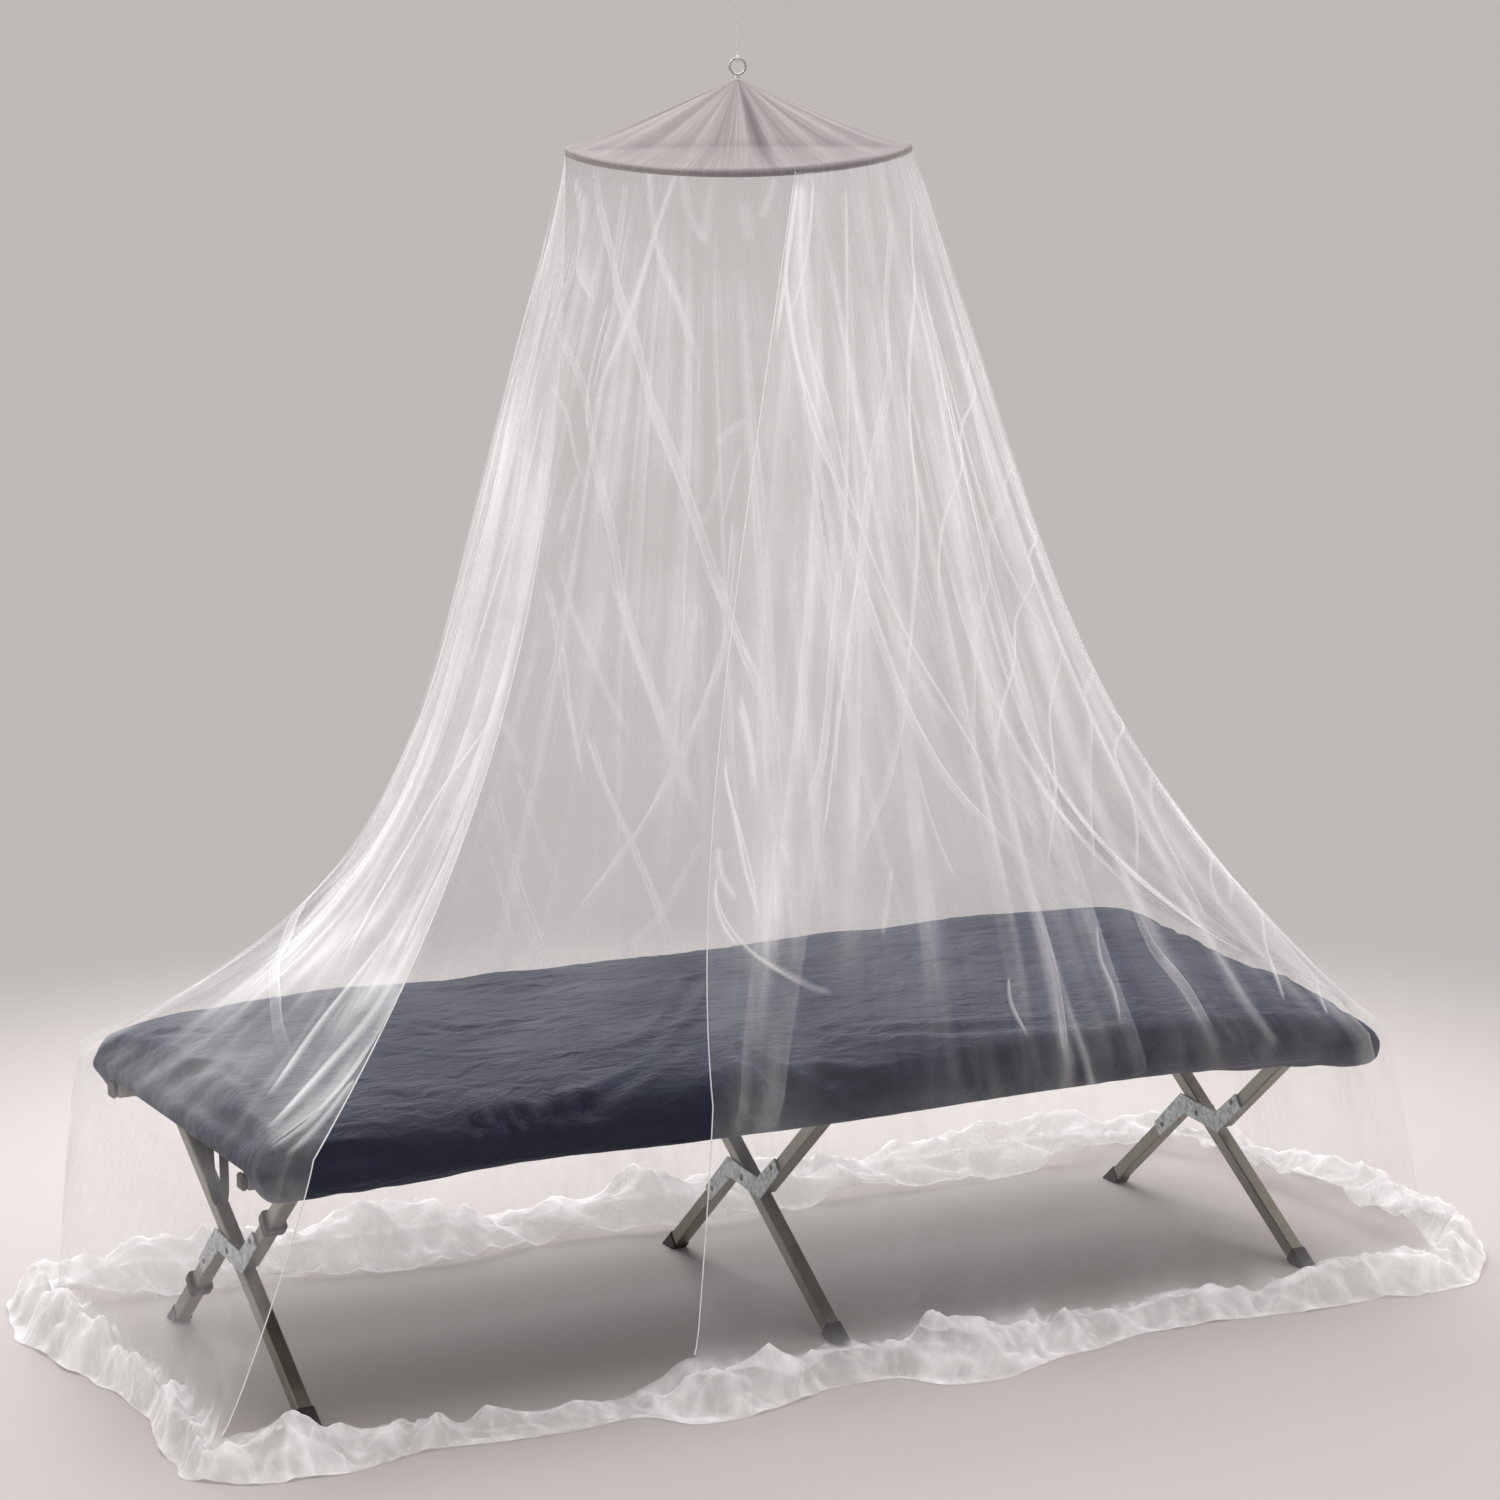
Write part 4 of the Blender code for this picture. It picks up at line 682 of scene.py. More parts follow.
def build_net(mat):
    P, left, base, v = net_grid()
    n, rows = base.shape[:2]
    wall_rows = ROWS_UP + ROWS_LOW
    normal, step = outward(base, left)
    deg = P["hoop"][:, None]
    vv = v[None, :]
    hang = (np.arange(n) <= left)[:, None] & (vv <= 2.0)
    lift = fold_height(deg, vv, step * 2.2 * FINE)
    per_deg = np.gradient(P["hoop"])[:, None]
    metre_deg = step / np.maximum(per_deg, 1e-6)          # metres for each degree
    cover = np.zeros((n, rows))
    fine = np.zeros((n, rows))
    for p in PLEATS:
        centre = pleat_centre(p, vv)
        off = (deg - centre) / p["width"]
        ridge = np.exp(-np.abs(off) ** 1.6)
        along = smooth(p["start"], p["start"] + 0.06, vv) * (1 - smooth(p["end"] - 0.25, p["end"] + 0.1, vv))
        fine += ridge * p["height"] * along * np.minimum(1.0, metre_deg * p["width"] / 0.012)
        cover += ridge * p["cover"] * along * 0.5
    fine *= 1.0 - 0.75 * np.exp(-((vv - 1.0) / 0.07) ** 2)
    fine *= 1.0 - smooth(1.7, 2.0, vv)
    edge_fade = smooth(0, 14, np.arange(n))[:, None] * smooth(0, 14, np.abs(np.arange(n) - left))[:, None]
    lift = np.where(hang, (lift + fine) * (0.3 + 0.7 * edge_fade), 0.0)
    points = base + normal * lift[..., None]
    calm = base + normal * (np.where(hang, fold_height(deg, vv, step * 2.2 * FINE) * (0.3 + 0.7 * edge_fade), 0.0) + 0.0025)[..., None]
    # base cover by place
    zone = np.interp(P["hoop"], [-97, -60, -32, -10, 20, 40, 60, 110, 128, 134, 158],
                     [0.065, 0.050, 0.062, 0.11, 0.12, 0.15, 0.17, 0.17, 0.17, 0.14, 0.14])[:, None]
    gather = 1.0 + 0.5 * np.exp(-vv / 0.10)
    cover = cover + zone * gather
    # over the pad's near corner the drawn cloth lies thin between a few strong folds
    over = smooth(0.78, 0.90, vv) * (1 - smooth(1.04, 1.14, vv)) * smooth(131.0, 137.0, deg)
    cover = cover * (1.0 - 0.60 * over)
    front = (1 - smooth(-33.0, -27.0, deg)) * smooth(0.78, 0.88, vv) * (1 - smooth(1.02, 1.12, vv))
    cover = cover * (1.0 - 0.40 * front)
    rear = smooth(30.0, 45.0, deg) * (1 - smooth(120.0, 134.0, deg))
    cover = np.where(vv > 1.9, cover + (0.16 - 0.09 * rear) * smooth(1.9, 2.1, vv), cover)
    # the flounce runs thin across the opening
    thin = smooth(176.0, 190.0, deg) * (1 - smooth(236.0, 250.0, deg))
    cover = cover * (1 - 0.45 * thin * smooth(1.85, 2.0, vv))
    # the pile: lumps and crumples
    flat = points.reshape(-1, 3)
    pile_mask = np.broadcast_to(vv > 1.80, (n, rows)).reshape(-1)
    where = np.nonzero(pile_mask)[0]
    pts = flat[where]
    depth = np.broadcast_to(vv, (n, rows)).reshape(-1)[where]
    amount = smooth(1.8, 2.2, depth) * (1 - 0.75 * smooth(2.75, 3.0, depth))
    bent = pts + 0.030 * np.stack([noise_field(pts * (1, 1, 0), 9.0, 8.0), noise_field(pts * (1, 1, 0), 9.0, 9.0),
                                   np.zeros(len(pts))], -1)
    lump = noise_field(bent * (1, 1, 0.3), 8.0, 1.0)
    crumple = 1 - 2.6 * np.abs(noise_field(bent * (1, 1, 0.5), 13.0, 2.0))
    small = 1 - 2.6 * np.abs(noise_field(bent * (1, 1, 0.5), 30.0, 3.0))
    crease = np.maximum(crumple, 0.85 * small)
    local = np.minimum(1.0, np.interp(P["crest"], [0.016, 0.05], [0.35, 1.0]))
    local = np.broadcast_to(local[:, None], (n, rows)).reshape(-1)[where]
    rise = (lump * 0.034 + (crumple - 0.4) * 0.017 + (small - 0.4) * 0.007) * amount * local
    pts = pts.copy()
    pts[:, 2] = np.maximum(0.0012, pts[:, 2] + rise)
    reach = smooth(1.85, 2.3, depth)
    flat_pts = pts * (1, 1, 0)
    pts[:, 0] += (noise_field(flat_pts, 13.0, 5.0) * 0.016 + noise_field(flat_pts, 5.0, 17.0) * 0.028) * reach * local
    pts[:, 1] += (noise_field(flat_pts, 13.0, 6.0) * 0.016 + noise_field(flat_pts, 5.0, 18.0) * 0.024) * reach * local
    flat = flat.copy()
    flat[where] = pts
    cover_flat = cover.reshape(-1).copy()
    cover_flat[where] += (0.03 + 0.20 * np.clip(crease, 0, 1) ** 2.5) * smooth(1.92, 2.15, depth)
    # faces
    keep = np.ones((n, rows), bool)
    keep[left + 1:, :wall_rows] = False
    index = -np.ones((n, rows), int)
    index[keep] = np.arange(keep.sum())
    faces = []
    for c in range(n):
        d = (c + 1) % n
        for r in range(rows - 1):
            if c >= left and r < wall_rows:
                continue
            faces.append((index[c, r], index[c, r + 1], index[d, r + 1], index[d, r]))
    keep_flat = keep.reshape(-1)
    verts = flat[keep_flat]
    cov = cover_flat[keep_flat]
    uvs = np.stack([np.broadcast_to(deg / 20.0, (n, rows)), np.broadcast_to(vv, (n, rows))], -1).reshape(-1, 2)[keep_flat]
    grid = flat.reshape(n, rows, 3)
    lay = np.broadcast_to(smooth(1.90, 2.06, vv), (n, rows)).reshape(-1)[keep_flat]
    return verts, faces, cov, uvs, lay, grid, calm, P, left, v


PLEATS = pleats()


BANDS = {
    # how the cover runs across a fold, from one side to the other
    "soft": ((-1.0, 0.0), (-0.6, 0.45), (0.0, 1.0), (0.6, 0.45), (1.0, 0.0)),
    "line": ((-1.0, 0.0), (-0.5, 0.8), (0.0, 1.0), (0.5, 0.8), (1.0, 0.0)),
    "band": ((-1.0, 0.0), (-0.86, 1.0), (-0.55, 0.50), (0.50, 0.42), (0.86, 0.85), (1.0, 0.0)),
    "left": ((-1.0, 0.0), (-0.88, 1.0), (-0.50, 0.55), (0.20, 0.30), (1.0, 0.0)),
    "right": ((-1.0, 0.0), (-0.20, 0.30), (0.50, 0.55), (0.88, 1.0), (1.0, 0.0)),
}


def ribbon_on(grid, P, v, normal_of, path, width, cover, samples=60, lift=0.0015, kind="soft", fade=(0.12, 0.22)):
    """A strip of doubled cloth that lies on the skirt along (degrees, depth) points."""
    path = spline(path, samples)
    cols = np.interp(path[:, 0], P["hoop"], np.arange(len(P["hoop"])))
    rows = np.interp(path[:, 1], v, np.arange(len(v)))
    def sample(c, r):
        c0, r0 = np.floor(c).astype(int), np.floor(r).astype(int)
        c0, r0 = np.clip(c0, 0, grid.shape[0] - 2), np.clip(r0, 0, grid.shape[1] - 2)
        fc, fr = (c - c0)[:, None], (r - r0)[:, None]
        return ((grid[c0, r0] * (1 - fc) + grid[c0 + 1, r0] * fc) * (1 - fr)
                + (grid[c0, r0 + 1] * (1 - fc) + grid[c0 + 1, r0 + 1] * fc) * fr)
    def sample_n(c, r):
        c0, r0 = np.clip(np.round(c).astype(int), 0, grid.shape[0] - 1), np.clip(np.round(r).astype(int), 0, grid.shape[1] - 1)
        return normal_of[c0, r0]
    mid = sample(cols, rows)
    along = np.gradient(mid, axis=0)
    along /= np.maximum(np.linalg.norm(along, axis=1, keepdims=True), 1e-9)
    nor = sample_n(cols, rows)
    across = np.cross(along, nor)
    across /= np.maximum(np.linalg.norm(across, axis=1, keepdims=True), 1e-9)
    t = np.linspace(0, 1, samples)
    w = np.interp(t, np.linspace(0, 1, len(width)), width)[:, None]
    strength = np.interp(t, np.linspace(0, 1, len(cover)), cover)
    ends = smooth(0, fade[0], t) * (1 - smooth(1.0 - fade[1], 1.0, t))
    verts, cov, uvs = [], [], []
    shape = BANDS[kind]
    for s, part in shape:
        bulge = lift + 0.0030 * (1 - s * s)
        verts.append(mid + across * (w * s) + nor * bulge)
        cov.append(strength * ends * part)
        uvs.append(np.stack([path[:, 0] / 20.0 + s * 0.02 + 3.0, path[:, 1]], -1))
    verts, cov, uvs = np.concatenate(verts), np.concatenate(cov), np.concatenate(uvs)
    faces = [(k * samples + i, k * samples + i + 1, (k + 1) * samples + i + 1, (k + 1) * samples + i)
             for k in range(len(shape) - 1) for i in range(samples - 1)]
    return verts, faces, cov, uvs


# Strong folds, given one by one: kind, half width in millimetres, cover,
# points (degrees round the hoop, depth: 0 hoop, 1 pad edge, 2 floor)
LINES = [
    # the back, seen through the opening: long folds that cross
    ("band", 9, 0.85, (120.5, 0.00), (103.1, 0.13), (90.6, 0.26), (81.3, 0.39), (74.1, 0.52), (68.1, 0.65), (62.9, 0.78)),
    ("soft", 10, 0.62, (94.9, 0.02), (90.6, 0.10), (82.9, 0.18), (77.4, 0.26)),
    ("soft", 8, 0.62, (84.1, 0.02), (91.7, 0.12), (96.2, 0.22), (101.6, 0.32)),
    ("soft", 10, 0.46, (83.0, 0.03), (80.1, 0.08), (74.9, 0.12)),
    ("band", 8, 0.62, (118.2, 0.17), (103.7, 0.30), (94.8, 0.44), (88.1, 0.58), (81.8, 0.72), (76.0, 0.86)),
    ("left", 9, 0.81, (69.1, 0.45), (70.9, 0.56), (74.9, 0.66), (80.4, 0.77), (86.8, 0.87), (93.3, 0.98)),
    ("line", 4, 0.59, (105.2, 0.51), (99.2, 0.60), (95.7, 0.69), (92.2, 0.78)),
    ("line", 5, 0.62, (93.7, 0.70), (88.1, 0.81), (82.5, 0.93), (78.9, 1.05)),
    ("right", 9, 0.62, (106.8, 0.76), (101.9, 0.85), (98.0, 0.93), (93.7, 1.01)),
    ("left", 14, 0.70, (118.3, 0.05), (114.9, 0.09), (111.2, 0.14), (105.1, 0.18)),
    ("soft", 12, 0.59, (128.3, 0.03), (120.5, 0.06), (115.2, 0.10)),
    ("band", 8, 0.70, (102.8, 0.04), (102.1, 0.08), (101.6, 0.12), (100.8, 0.17)),
    ("line", 5, 0.59, (101.0, 0.18), (103.9, 0.24), (104.0, 0.29), (101.8, 0.34)),
    ("line", 4, 0.53, (98.2, 0.19), (100.0, 0.22), (101.6, 0.26), (102.4, 0.29)),
    ("line", 4, 0.53, (83.5, 0.02), (89.2, 0.09), (93.4, 0.16), (96.9, 0.23), (100.8, 0.29)),
    ("line", 4, 0.53, (113.0, 0.27), (108.3, 0.31), (104.5, 0.36), (100.0, 0.40)),
    ("soft", 8, 0.40, (102.8, 0.38), (104.3, 0.42), (104.6, 0.46)),
    ("soft", 12, 0.37, (72.3, 0.04), (74.6, 0.08), (75.5, 0.12)),
    ("soft", 14, 0.31, (64.8, 0.07), (63.8, 0.08), (62.9, 0.12)),
    ("soft", 10, 0.37, (53.0, 0.04), (56.4, 0.07), (59.3, 0.09)),
    ("soft", 8, 0.34, (72.6, 0.39), (74.4, 0.43), (76.6, 0.46)),
    ("line", 4, 0.34, (67.8, 0.37), (70.3, 0.42), (72.4, 0.46)),
    ("line", 4, 0.31, (64.8, 0.35), (64.4, 0.40), (63.8, 0.45)),
    ("soft", 9, 0.28, (65.8, 0.33), (71.0, 0.35), (73.3, 0.36)),
    ("line", 4, 0.53, (77.1, 0.49), (72.9, 0.56), (69.1, 0.62), (66.0, 0.68), (63.8, 0.74)),
    ("line", 4, 0.62, (69.8, 0.45), (71.1, 0.51), (72.0, 0.56), (73.0, 0.62), (74.8, 0.67)),
    ("line", 4, 0.65, (73.6, 0.63), (77.3, 0.70), (80.9, 0.76), (84.6, 0.83), (88.4, 0.89), (92.5, 0.95)),
    ("soft", 12, 0.40, (94.2, 0.49), (89.6, 0.56), (85.6, 0.64), (82.0, 0.71), (78.8, 0.78), (75.7, 0.86)),
    ("line", 4, 0.56, (92.3, 0.71), (88.8, 0.79), (85.1, 0.86), (81.6, 0.94), (78.6, 1.02)),
    ("line", 4, 0.53, (105.5, 0.76), (102.5, 0.82), (99.3, 0.88), (96.2, 0.94), (93.5, 1.00)),
    ("soft", 10, 0.43, (103.3, 0.74), (100.0, 0.79), (97.0, 0.84), (94.6, 0.89)),
    ("line", 4, 0.46, (105.5, 0.82), (102.5, 0.87), (100.1, 0.92), (98.3, 0.97)),
    ("soft", 10, 0.34, (108.8, 0.66), (105.2, 0.70), (102.5, 0.74)),
    ("line", 4, 0.43, (106.5, 0.50), (101.9, 0.57), (98.4, 0.64), (95.5, 0.70), (92.8, 0.77)),
    ("soft", 9, 0.37, (104.2, 0.48), (97.2, 0.57), (91.5, 0.65), (86.0, 0.73)),
    ("soft", 9, 0.31, (77.1, 0.55), (78.4, 0.60), (79.8, 0.65), (82.0, 0.70)),
    ("soft", 11, 0.37, (76.9, 0.86), (78.7, 0.90), (81.5, 0.95), (86.1, 1.00)),
    # the gather that falls from the opening's right edge
    ("line", 4, 0.57, (-97.0, 0.01), (-96.8, 0.07), (-96.9, 0.13), (-97.0, 0.19)),
    ("soft", 16, 0.34, (-95.9, 0.01), (-94.2, 0.08), (-92.3, 0.15), (-90.4, 0.22), (-88.8, 0.29)),
    ("line", 4, 0.48, (-95.9, 0.01), (-94.2, 0.08), (-92.3, 0.15), (-90.4, 0.22), (-88.8, 0.29)),
    ("line", 4, 0.46, (-91.9, 0.01), (-92.1, 0.06), (-93.0, 0.11), (-95.5, 0.17)),
    ("line", 4, 0.52, (-97.1, 0.02), (-97.0, 0.10), (-94.2, 0.18), (-90.3, 0.26), (-86.7, 0.35)),
    ("line", 4, 0.48, (-97.0, 0.12), (-94.6, 0.17), (-92.5, 0.22)),
    ("line", 4, 0.48, (-97.2, 0.10), (-92.7, 0.21), (-88.8, 0.31), (-79.8, 0.41)),
    ("soft", 18, 0.32, (-95.9, 0.01), (-93.7, 0.09), (-91.5, 0.17)),
    ("line", 4, 0.42, (-97.2, 0.76), (-96.2, 0.80), (-93.8, 0.84), (-89.5, 0.88)),
    ("line", 4, 0.60, (-97.2, 0.63), (-95.9, 0.69), (-94.8, 0.75), (-93.3, 0.81)),
    ("soft", 9, 0.46, (-96.3, 0.57), (-95.0, 0.62), (-94.3, 0.67)),
    ("line", 4, 0.46, (-97.0, 0.62), (-96.6, 0.66), (-95.3, 0.71), (-94.2, 0.76), (-93.8, 0.80)),
    ("line", 4, 0.53, (-97.0, 0.75), (-97.0, 0.78), (-96.2, 0.81), (-95.1, 0.83)),
    ("soft", 9, 0.41, (-97.0, 0.72), (-96.7, 0.75), (-95.4, 0.78)),
    ("soft", 6, 0.34, (-96.3, 0.56), (-95.0, 0.61), (-94.3, 0.66)),
    ("soft", 7, 0.26, (-93.8, 0.84), (-91.5, 0.86), (-89.0, 0.88), (-86.8, 0.89)),
    # the front, right of the opening
    ("line", 4, 0.40, (-80.6, 0.01), (-82.3, 0.12), (-83.4, 0.24), (-84.4, 0.36), (-86.2, 0.48)),
    ("band", 7, 0.45, (-63.5, 0.05), (-71.8, 0.16), (-77.4, 0.28), (-81.2, 0.39), (-83.9, 0.51), (-86.6, 0.62)),
    ("line", 5, 0.45, (-51.3, 0.04), (-62.3, 0.15), (-68.9, 0.27), (-72.6, 0.39), (-75.0, 0.51), (-77.6, 0.63)),
    ("soft", 9, 0.32, (-55.5, 0.12), (-57.0, 0.20), (-60.7, 0.28), (-61.4, 0.36)),
    ("line", 4, 0.40, (-37.4, 0.20), (-53.8, 0.30), (-64.9, 0.40), (-71.3, 0.50)),
    ("line", 4, 0.40, (-57.2, 0.13), (-53.8, 0.23), (-52.1, 0.34), (-49.8, 0.44), (-44.5, 0.55)),
    ("left", 8, 0.45, (-27.1, 0.29), (-49.8, 0.39), (-60.6, 0.49), (-65.4, 0.59), (-70.0, 0.69)),
    ("line", 4, 0.38, (-27.0, 0.35), (-42.5, 0.44), (-53.0, 0.52), (-60.0, 0.60), (-64.9, 0.69)),
    ("line", 4, 0.38, (-43.7, 0.53), (-50.9, 0.62), (-55.8, 0.71), (-59.9, 0.80)),
    ("left", 8, 0.55, (-27.6, 0.49), (-42.4, 0.60), (-49.0, 0.71), (-54.2, 0.81)),
    ("line", 4, 0.40, (-27.9, 0.56), (-38.8, 0.64), (-43.3, 0.73), (-47.7, 0.82)),
    ("left", 8, 0.55, (-27.0, 0.59), (-36.2, 0.68), (-39.3, 0.77), (-41.5, 0.86)),
    ("band", 7, 0.48, (-91.7, 0.24), (-87.0, 0.33), (-82.8, 0.43), (-79.1, 0.53), (-75.1, 0.62), (-68.6, 0.72), (-56.4, 0.82)),
    ("line", 4, 0.42, (-92.6, 0.16), (-88.3, 0.25), (-83.7, 0.35), (-78.9, 0.45), (-73.7, 0.55), (-67.7, 0.65), (-60.5, 0.75)),
    ("line", 4, 0.38, (-27.2, 0.73), (-30.3, 0.80), (-34.9, 0.87), (-37.8, 0.94)),
    ("line", 4, 0.38, (-27.8, 0.63), (-26.0, 0.70), (-34.3, 0.77), (-37.3, 0.84)),
    ("soft", 8, 0.34, (-27.8, 0.68), (-30.2, 0.75), (-35.6, 0.82)),
    ("band", 7, 0.34, (-62.2, 0.82), (-62.2, 0.88), (-62.7, 0.94), (-63.4, 1.00)),
    ("line", 4, 0.34, (-67.9, 0.90), (-68.0, 0.93), (-66.8, 0.97)),
    ("line", 4, 0.34, (-55.4, 0.85), (-56.2, 0.89), (-56.0, 0.93), (-56.6, 0.97)),
    ("band", 10, 0.28, (-48.9, 0.83), (-49.2, 0.88), (-47.9, 0.93), (-47.9, 0.99)),
    ("line", 4, 0.34, (-35.9, 0.89), (-37.2, 0.92), (-38.4, 0.95)),
    ("line", 4, 0.34, (-32.7, 0.92), (-33.9, 0.94), (-35.2, 0.97)),
    ("soft", 9, 0.30, (-80.3, 0.44), (-77.9, 0.50), (-74.1, 0.57), (-70.2, 0.63)),
    ("line", 4, 0.30, (-82.3, 0.44), (-79.7, 0.50), (-77.1, 0.57), (-74.2, 0.63), (-70.5, 0.70)),
    ("left", 9, 0.40, (-76.1, 0.57), (-78.1, 0.62), (-80.1, 0.67), (-82.3, 0.71), (-84.5, 0.76)),
    ("line", 4, 0.30, (-75.8, 0.66), (-75.0, 0.70), (-73.6, 0.75), (-72.1, 0.79)),
    ("band", 8, 0.50, (-85.6, 0.42), (-86.9, 0.49), (-87.6, 0.57), (-88.5, 0.64), (-90.5, 0.71)),
    ("line", 4, 0.42, (-86.2, 0.56), (-86.8, 0.62), (-87.5, 0.67), (-88.2, 0.72)),
    ("line", 4, 0.46, (-81.4, 0.41), (-83.7, 0.47), (-85.3, 0.54), (-86.4, 0.61), (-86.8, 0.67)),
    ("soft", 6, 0.28, (-92.6, 0.71), (-91.8, 0.73), (-91.1, 0.75)),
    ("soft", 7, 0.26, (-79.9, 0.76), (-80.7, 0.80), (-81.5, 0.84)),
    # the cloth drawn to the left, and where it lies over the pad's corner
    ("line", 4, 0.50, (132.8, 0.20), (131.9, 0.28), (133.1, 0.36), (135.2, 0.44), (136.7, 0.52)),
    ("line", 4, 0.50, (153.6, 0.21), (152.5, 0.28), (151.1, 0.36), (149.8, 0.43), (149.0, 0.50)),
    ("band", 7, 0.55, (148.4, 0.06), (140.8, 0.17), (139.5, 0.28), (140.4, 0.40), (139.3, 0.51)),
    ("line", 4, 0.50, (136.3, 0.17), (139.0, 0.24), (138.8, 0.31), (138.3, 0.39), (140.1, 0.46)),
    ("band", 12, 0.46, (140.0, 0.49), (138.7, 0.57), (138.6, 0.65), (140.6, 0.74), (145.4, 0.82), (153.7, 0.90)),
    ("right", 24, 0.42, (156.1, 0.44), (157.0, 0.56), (157.2, 0.64), (156.9, 0.73), (157.4, 0.81)),
    ("line", 5, 0.55, (154.4, 0.51), (152.0, 0.58), (150.6, 0.65), (150.6, 0.72), (152.3, 0.80)),
    ("soft", 12, 0.42, (157.0, 0.74), (155.6, 0.86), (154.6, 0.97)),
    ("left", 12, 0.42, (157.8, 0.80), (156.2, 0.90), (155.0, 0.985)),
    ("soft", 6, 0.34, (157.6, 0.87), (156.3, 0.93), (155.3, 0.99)),
    ("soft", 7, 0.34, (157.9, 0.91), (156.8, 0.95), (155.8, 0.995)),
    ("soft", 12, 0.35, (153.6, 0.74), (153.2, 0.84), (153.6, 0.94)),
]


def make_net():
    verts, faces, cov, uvs, lay, grid, calm, P, left, v = build_net(None)
    normal, _ = outward(calm, left)
    sets = [(verts, faces, cov, uvs)]
    for p in PLEATS:
        vs = np.linspace(max(0.01, p["start"]), min(p["end"], 0.99 if p["end"] < 1 else 1.6), 7)
        path = [(float(pleat_centre(p, x)), float(x)) for x in vs]
        sets.append(ribbon_on(calm, P, v, normal, path, (p["wide"] * 0.6, p["wide"], p["wide"] * 1.2),
                              (p["cover"],), 26, kind=str(p["kind"]), fade=(0.25, 0.35)))
    for kind, half, cover, *path in LINES:
        half = half / 1000.0
        sets.append(ribbon_on(calm, P, v, normal, path, (half * 0.7, half, half * 1.05, half * 0.8), (cover,), 40, kind=kind))
    all_v, all_f, all_c, all_u, base = [], [], [], [], 0
    for a, b, c, d in sets:
        all_v.append(a)
        all_f.extend([tuple(i + base for i in f) for f in b])
        all_c.append(c)
        all_u.append(d)
        base += len(a)
    obj = add_mesh("net_skirt_cloth", np.concatenate(all_v) + SHIFT, all_f, MAT["net"])
    float_attribute(obj, "cover", np.clip(np.concatenate(all_c), 0.0, 1.0))
    float_attribute(obj, "lay", np.concatenate([lay, np.zeros(len(obj.data.vertices) - len(lay))]))
    float_attribute(obj, "band", np.concatenate([np.zeros(len(lay)), np.ones(len(obj.data.vertices) - len(lay))]))
    uv_layer(obj, np.concatenate(all_u))
    print("net triangles", 2 * len(all_f))
    return obj, grid, P, left, v


# Folds of the roof: degrees at the rim, half width in degrees, and a painted highlight (+) or painted shade (-), whose
# size also lifts or sinks the cloth
ROOF_FOLDS = [
    (255.5, 2.6, -0.85), (260.5, 2.0, 0.35), (246.0, 2.6, 0.25), (231.0, 2.0, -0.22), (224.0, 2.4, 0.35),
    (207.0, 2.6, 0.25), (198.0, 2.0, -0.22), (188.0, 3.0, 0.35), (270.0, 2.4, -0.20), (279.0, 2.6, 0.40),
    (290.0, 2.2, -0.20), (299.0, 3.0, 0.36), (311.0, 2.2, -0.18), (320.0, 2.6, 0.32), (332.0, 2.6, 0.25),
    (345.0, 2.6, -0.22), (352.0, 2.6, 0.30), (10.0, 2.6, 0.30), (35.0, 2.6, -0.25), (60.0, 3.4, 0.32),
    (85.0, 2.6, -0.25), (110.0, 3.4, 0.32), (135.0, 2.6, 0.30), (160.0, 2.6, -0.25), (172.0, 2.6, 0.30),
]


